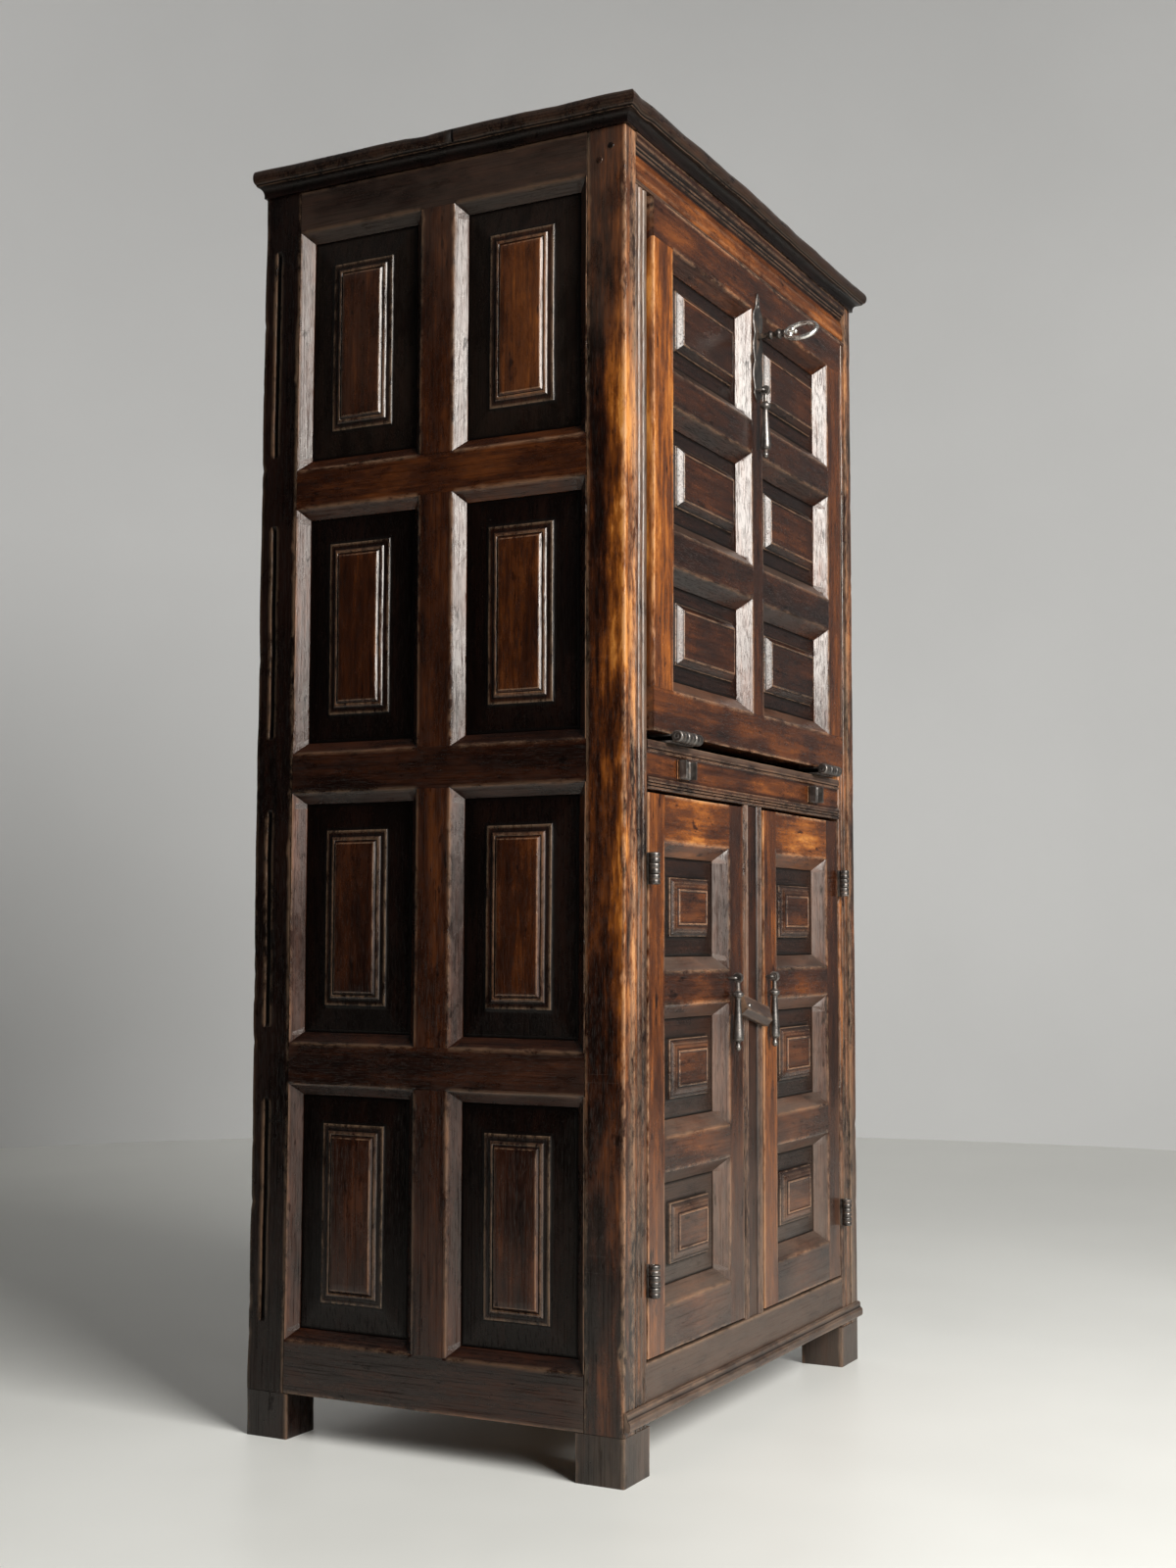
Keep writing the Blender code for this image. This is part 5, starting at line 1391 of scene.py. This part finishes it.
def key():
    """A shank with turned collars and an open oval bow with small lobes at its root."""
    axis = key_axis() @ Matrix.Rotation(KEY_TILT, 4, "Z")
    low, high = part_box("key")
    inner = FALL_FACE - high.y
    root = FALL_FACE - low.y - 2 * KEY_BOW.y
    r = KEY_RADIUS
    profile = [(0, inner), (r, inner + 0.0004), (r, 0.006), (r * 0.86, 0.009), (r * 0.86, root - 0.024)]
    profile += [(r * 1.30, root - 0.021), (r * 1.35, root - 0.018), (r * 0.90, root - 0.015)]
    profile += [(r * 1.00, root - 0.011), (r * 1.60, root - 0.008), (r * 1.64, root - 0.005)]
    profile += [(r * 1.15, root - 0.002), (r * 1.05, root + 0.004), (0, root + 0.006)]
    solid = Solid(0.1)
    lathe(solid, axis, profile, 28, 0.0008, even(0.0))
    bit = ((0, -0.002, inner + 0.0004), (0.012, 0.002, inner + 0.0064))
    board(solid, *bit, 0, 0.0004, even(0.0), matrix=axis)
    solid.piece("key", SHANK, "key", stem="key_shank")
    solid = Solid(0.05)
    path = []
    for turn in turns(KEY_STEPS):
        x = (KEY_BOW.x - KEY_WIRE) * math.sin(turn)
        z = root + KEY_BOW.y + (KEY_BOW.y - KEY_WIRE) * math.cos(turn)
        path.append(axis @ Vector((x, 0, z)))
    tube(solid, path, KEY_WIRE, 16, even(1.0), ring=True)
    for x, z, radius in KEY_LOBES:
        ball(solid, axis @ Vector((x, 0, root + z)), radius, even(1.0))
    solid.piece("key", STEEL, "key", stem="key_bow")


def lock():
    """A case with the holes of its bolt and its key, and the bolt in it."""
    low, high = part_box("lock_case")
    solid = Solid(0.1)
    board(solid, low, high, 2, 0.0012, even(0.2))
    obj = solid.piece("lock_case", IRON, "fall")
    bolt_low, bolt_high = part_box("lock_bolt")
    slack = Vector((0.0003, 0.0003, 0.0003))
    cut_square(obj, bolt_low - slack, bolt_high + slack)
    back = FALL_FACE - low.y
    cut_round(obj, key_axis(), 0.0136, back - 0.008, back + 0.01)
    solid = Solid(0.0)
    board(solid, bolt_low, bolt_high, 2, 0.0005, even(0.6))
    solid.piece("lock_bolt", STEEL, "lock_bolt")


def turn_button():
    """A ridged bar of walnut with a sloping end, on a round-headed nail."""
    half, edge, ridge = BUTTON_HALF, BUTTON_EDGE, BUTTON_RIDGE
    slope = BUTTON_SLOPE / ridge
    tilt = Matrix.Translation(BUTTON_AXIS) @ Matrix.Rotation(BUTTON_TILT, 4, "Y")
    base = -0.0006
    section = [(-half, base), (-half, -edge), (-half * 0.4, -ridge), (half, -edge), (half, base)]

    def place(s, a, b):
        return tilt @ Vector((min(s, BUTTON_REACH - slope * max(0, -b - edge)), b, a))

    solid = Solid(0.3)
    sweep(solid, place, (-BUTTON_TAIL, BUTTON_REACH), section, 0.0012, even(0.30, 0.30), step=0.004)
    solid.piece("turn_button", DARK, "turn_button")
    nail = Solid(0.0)
    head = tilt @ Matrix.Translation((0, -0.0135, 0)) @ Matrix.Rotation(QUARTER, 4, "X")
    dome(nail, head, NAIL_RADIUS, 0.0045, even(0.4))
    nail.piece("turn_button", IRON, "turn_button", stem="turn_button_nail")


def loper_pull(side):
    """A bent strap with two upright cheeks and a rivet between them."""
    low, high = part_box(f"{side}_loper_pull")
    thick = PULL_STRAP / 2
    x0, x1 = low.x + thick, high.x - thick
    web = high.y - thick
    path = bend([Vector((x, y, 0)) for x, y in ((x0, low.y), (x0, web), (x1, web), (x1, low.y))], 0.003)
    lengths = [0.0]
    for a, b in zip(path, path[1:]):
        lengths.append(lengths[-1] + (b - a).length)

    def place(s, a, b):
        i = max(1, next((k for k, length in enumerate(lengths) if length >= s - 1e-9), len(path) - 1))
        along = (path[i] - path[i - 1]).normalized()
        spot = path[i - 1] + along * (s - lengths[i - 1])
        return Vector((spot.x - along.y * a, spot.y + along.x * a, b))

    section = [(-thick, low.z), (thick, low.z), (thick, high.z), (-thick, high.z)]
    solid = Solid(0.1)
    sweep(solid, place, (0, lengths[-1]), section, 0.0006, even(0.55), marks=lengths, step=0.004)
    centre = Vector(((x0 + x1) / 2, high.y - PULL_STRAP, (low.z + high.z) / 2))
    dome(solid, facing(centre), RIVET_RADIUS, 0.004, even(0.5))
    solid.piece(f"{side}_loper_pull", IRON, f"{side}_loper")


def dress_iron():
    hinges()
    handles()
    escutcheon()
    key()
    lock()
    turn_button()
    for side in SIDES:
        loper_pull(side)


# Stage


def drifting(name, scale, detail, dark, light, rough):
    """A plain surface whose grey drifts softly, and whose roughness may drift with it."""
    s = Shader(name)
    tint = s.noise(s.add("NewGeometry", out="Position"), (scale,) * 3, detail)
    if isinstance(rough, tuple):
        rough = s.fade(tint, 0.3, 0.7, *rough)
    colour = s.mix(s.fade(tint, 0.3, 0.7), dark, light)
    return s.finish({"Base Color": colour, "Roughness": rough})


def stage_piece(name, points, faces, material):
    mesh = bpy.data.meshes.new(name)
    mesh.from_pydata(points, [], faces)
    mesh.polygons.foreach_set("use_smooth", [True] * len(mesh.polygons))
    mesh.materials.append(material)
    obj = bpy.data.objects.new(name, mesh)
    bpy.context.scene.collection.objects.link(obj)
    return obj


def add_stage():
    """A pale floor, a plain curved wall as far off as the real one, and a dark screen out of view."""
    pale = drifting("floor", 1.1, 4.0, (0.74, 0.74, 0.70, 1), (0.80, 0.80, 0.76, 1), (0.30, 0.42))
    grey = drifting("wall", 0.7, 3.0, (0.66, 0.66, 0.656, 1), (0.70, 0.70, 0.696, 1), 0.8)
    black = drifting("dark_screen", 9, 3.0, (0.010, 0.010, 0.010, 1), (0.016, 0.016, 0.016, 1), 0.9)
    h = FLOOR_HALF
    stage_piece("floor", [(-h, -h, 0), (h, -h, 0), (h, h, 0), (-h, h, 0)], [(0, 1, 2, 3)], pale)
    points = []
    for i in range(WALL_STEPS + 1):
        a = CAMERA_YAW + WALL_SPREAD * (2 * i / WALL_STEPS - 1)
        x, y = WALL_RADIUS * math.cos(a), WALL_RADIUS * math.sin(a)
        points += [(x, y, 0), (x, y, WALL_HEIGHT)]
    faces = [(i, i + 1, i + 3, i + 2) for i in range(0, 2 * WALL_STEPS, 2)]
    wall = stage_piece("wall", points, faces, grey)
    wall.visible_shadow = False
    # The dark screen is a black sheet standing in for the shaded room to the left: the camera doesn't see
    # it, but gloss reflects its darkness and it casts shade.
    corners = [(-1.7, 0.0, 0), (-1.7, 2.6, 0), (-1.7, 2.6, 2.4), (-1.7, 0.0, 2.4)]
    screen = stage_piece("dark_screen", corners, [(0, 1, 2, 3)], black)
    screen.visible_camera = False


def add_light(name, place, target, size, power, shine=True):
    lamp = bpy.data.lights.new(name, "AREA")
    lamp.shape = "RECTANGLE"
    lamp.size, lamp.size_y = size
    lamp.energy = power
    lamp.color = (1.0, 0.99, 0.97)
    obj = bpy.data.objects.new(name, lamp)
    obj.location = place
    obj.rotation_euler = (target - obj.location).to_track_quat("-Z", "Y").to_euler()
    obj.visible_glossy = shine
    bpy.context.scene.collection.objects.link(obj)


def add_lights():
    """One large window to the right behind the camera, and a dim room that looks pale behind the cabinet."""
    middle = Vector((0, 0, 0.9))
    add_light("window", (-1.50, -3.3, 2.35), middle, (2.2, 1.9), 300)
    add_light("sill", (-1.15, -3.2, 0.75), Vector((0, 0, 0.7)), (0.8, 1.1), 6)
    add_light("fill", (2.6, -2.6, 2.6), middle, (2.0, 2.0), 5, shine=False)
    add_light("rear", (2.2, 5.2, 3.4), middle, (2.4, 2.4), 24, shine=False)


def add_world():
    """Dim light from all round. The camera sees a pale room instead, and gloss shows some of it."""
    world = bpy.data.worlds.new("studio")
    bpy.context.scene.world = world
    world.use_nodes = True
    nodes, links = world.node_tree.nodes, world.node_tree.links
    dim = nodes["Background"]
    dim.inputs[0].default_value = (0.50, 0.50, 0.50, 1)
    dim.inputs[1].default_value = 0.03
    pale = nodes.new("ShaderNodeBackground")
    pale.inputs[0].default_value = (0.48, 0.48, 0.475, 1)
    rays = nodes.new("ShaderNodeLightPath").outputs
    seen = rays["Is Camera Ray"]
    for kind, share in (("Is Transmission Ray", 1.0), ("Is Glossy Ray", GLOSS_SHARE)):
        either = nodes.new("ShaderNodeMath")
        either.operation = "MULTIPLY_ADD"
        links.new(rays[kind], either.inputs[0])
        either.inputs[1].default_value = share
        links.new(seen, either.inputs[2])
        seen = either.outputs[0]
    mixed = nodes.new("ShaderNodeMixShader")
    for index, socket in enumerate((seen, dim.outputs[0], pale.outputs[0])):
        links.new(socket, mixed.inputs[index])
    links.new(mixed.outputs[0], nodes["World Output"].inputs[0])


def add_camera():
    """The camera fitted to the photograph's straight edges."""
    cos, sin = math.cos, math.sin
    level = cos(CAMERA_PITCH)
    ahead = Vector((cos(CAMERA_YAW) * level, sin(CAMERA_YAW) * level, sin(CAMERA_PITCH)))
    right = ahead.cross(Vector((0, 0, 1))).normalized()
    up = right.cross(ahead)
    tilted = right * cos(CAMERA_ROLL) + up * sin(CAMERA_ROLL)
    upright = up * cos(CAMERA_ROLL) - right * sin(CAMERA_ROLL)
    data = bpy.data.cameras.new("camera")
    data.sensor_width = SENSOR
    data.lens = SENSOR * PHOTO_FOCAL / PHOTO_HEIGHT
    camera = bpy.data.objects.new("camera", data)
    turn = Matrix((tilted, upright, -ahead)).transposed().to_4x4()
    camera.matrix_world = Matrix.Translation(CAMERA_PLACE) @ turn
    bpy.context.scene.collection.objects.link(camera)
    bpy.context.scene.camera = camera


dress_carcass()
dress_leaves()
dress_iron()
add_stage()
add_lights()
add_world()
add_camera()
bpy.context.scene.view_settings.view_transform = "Standard"
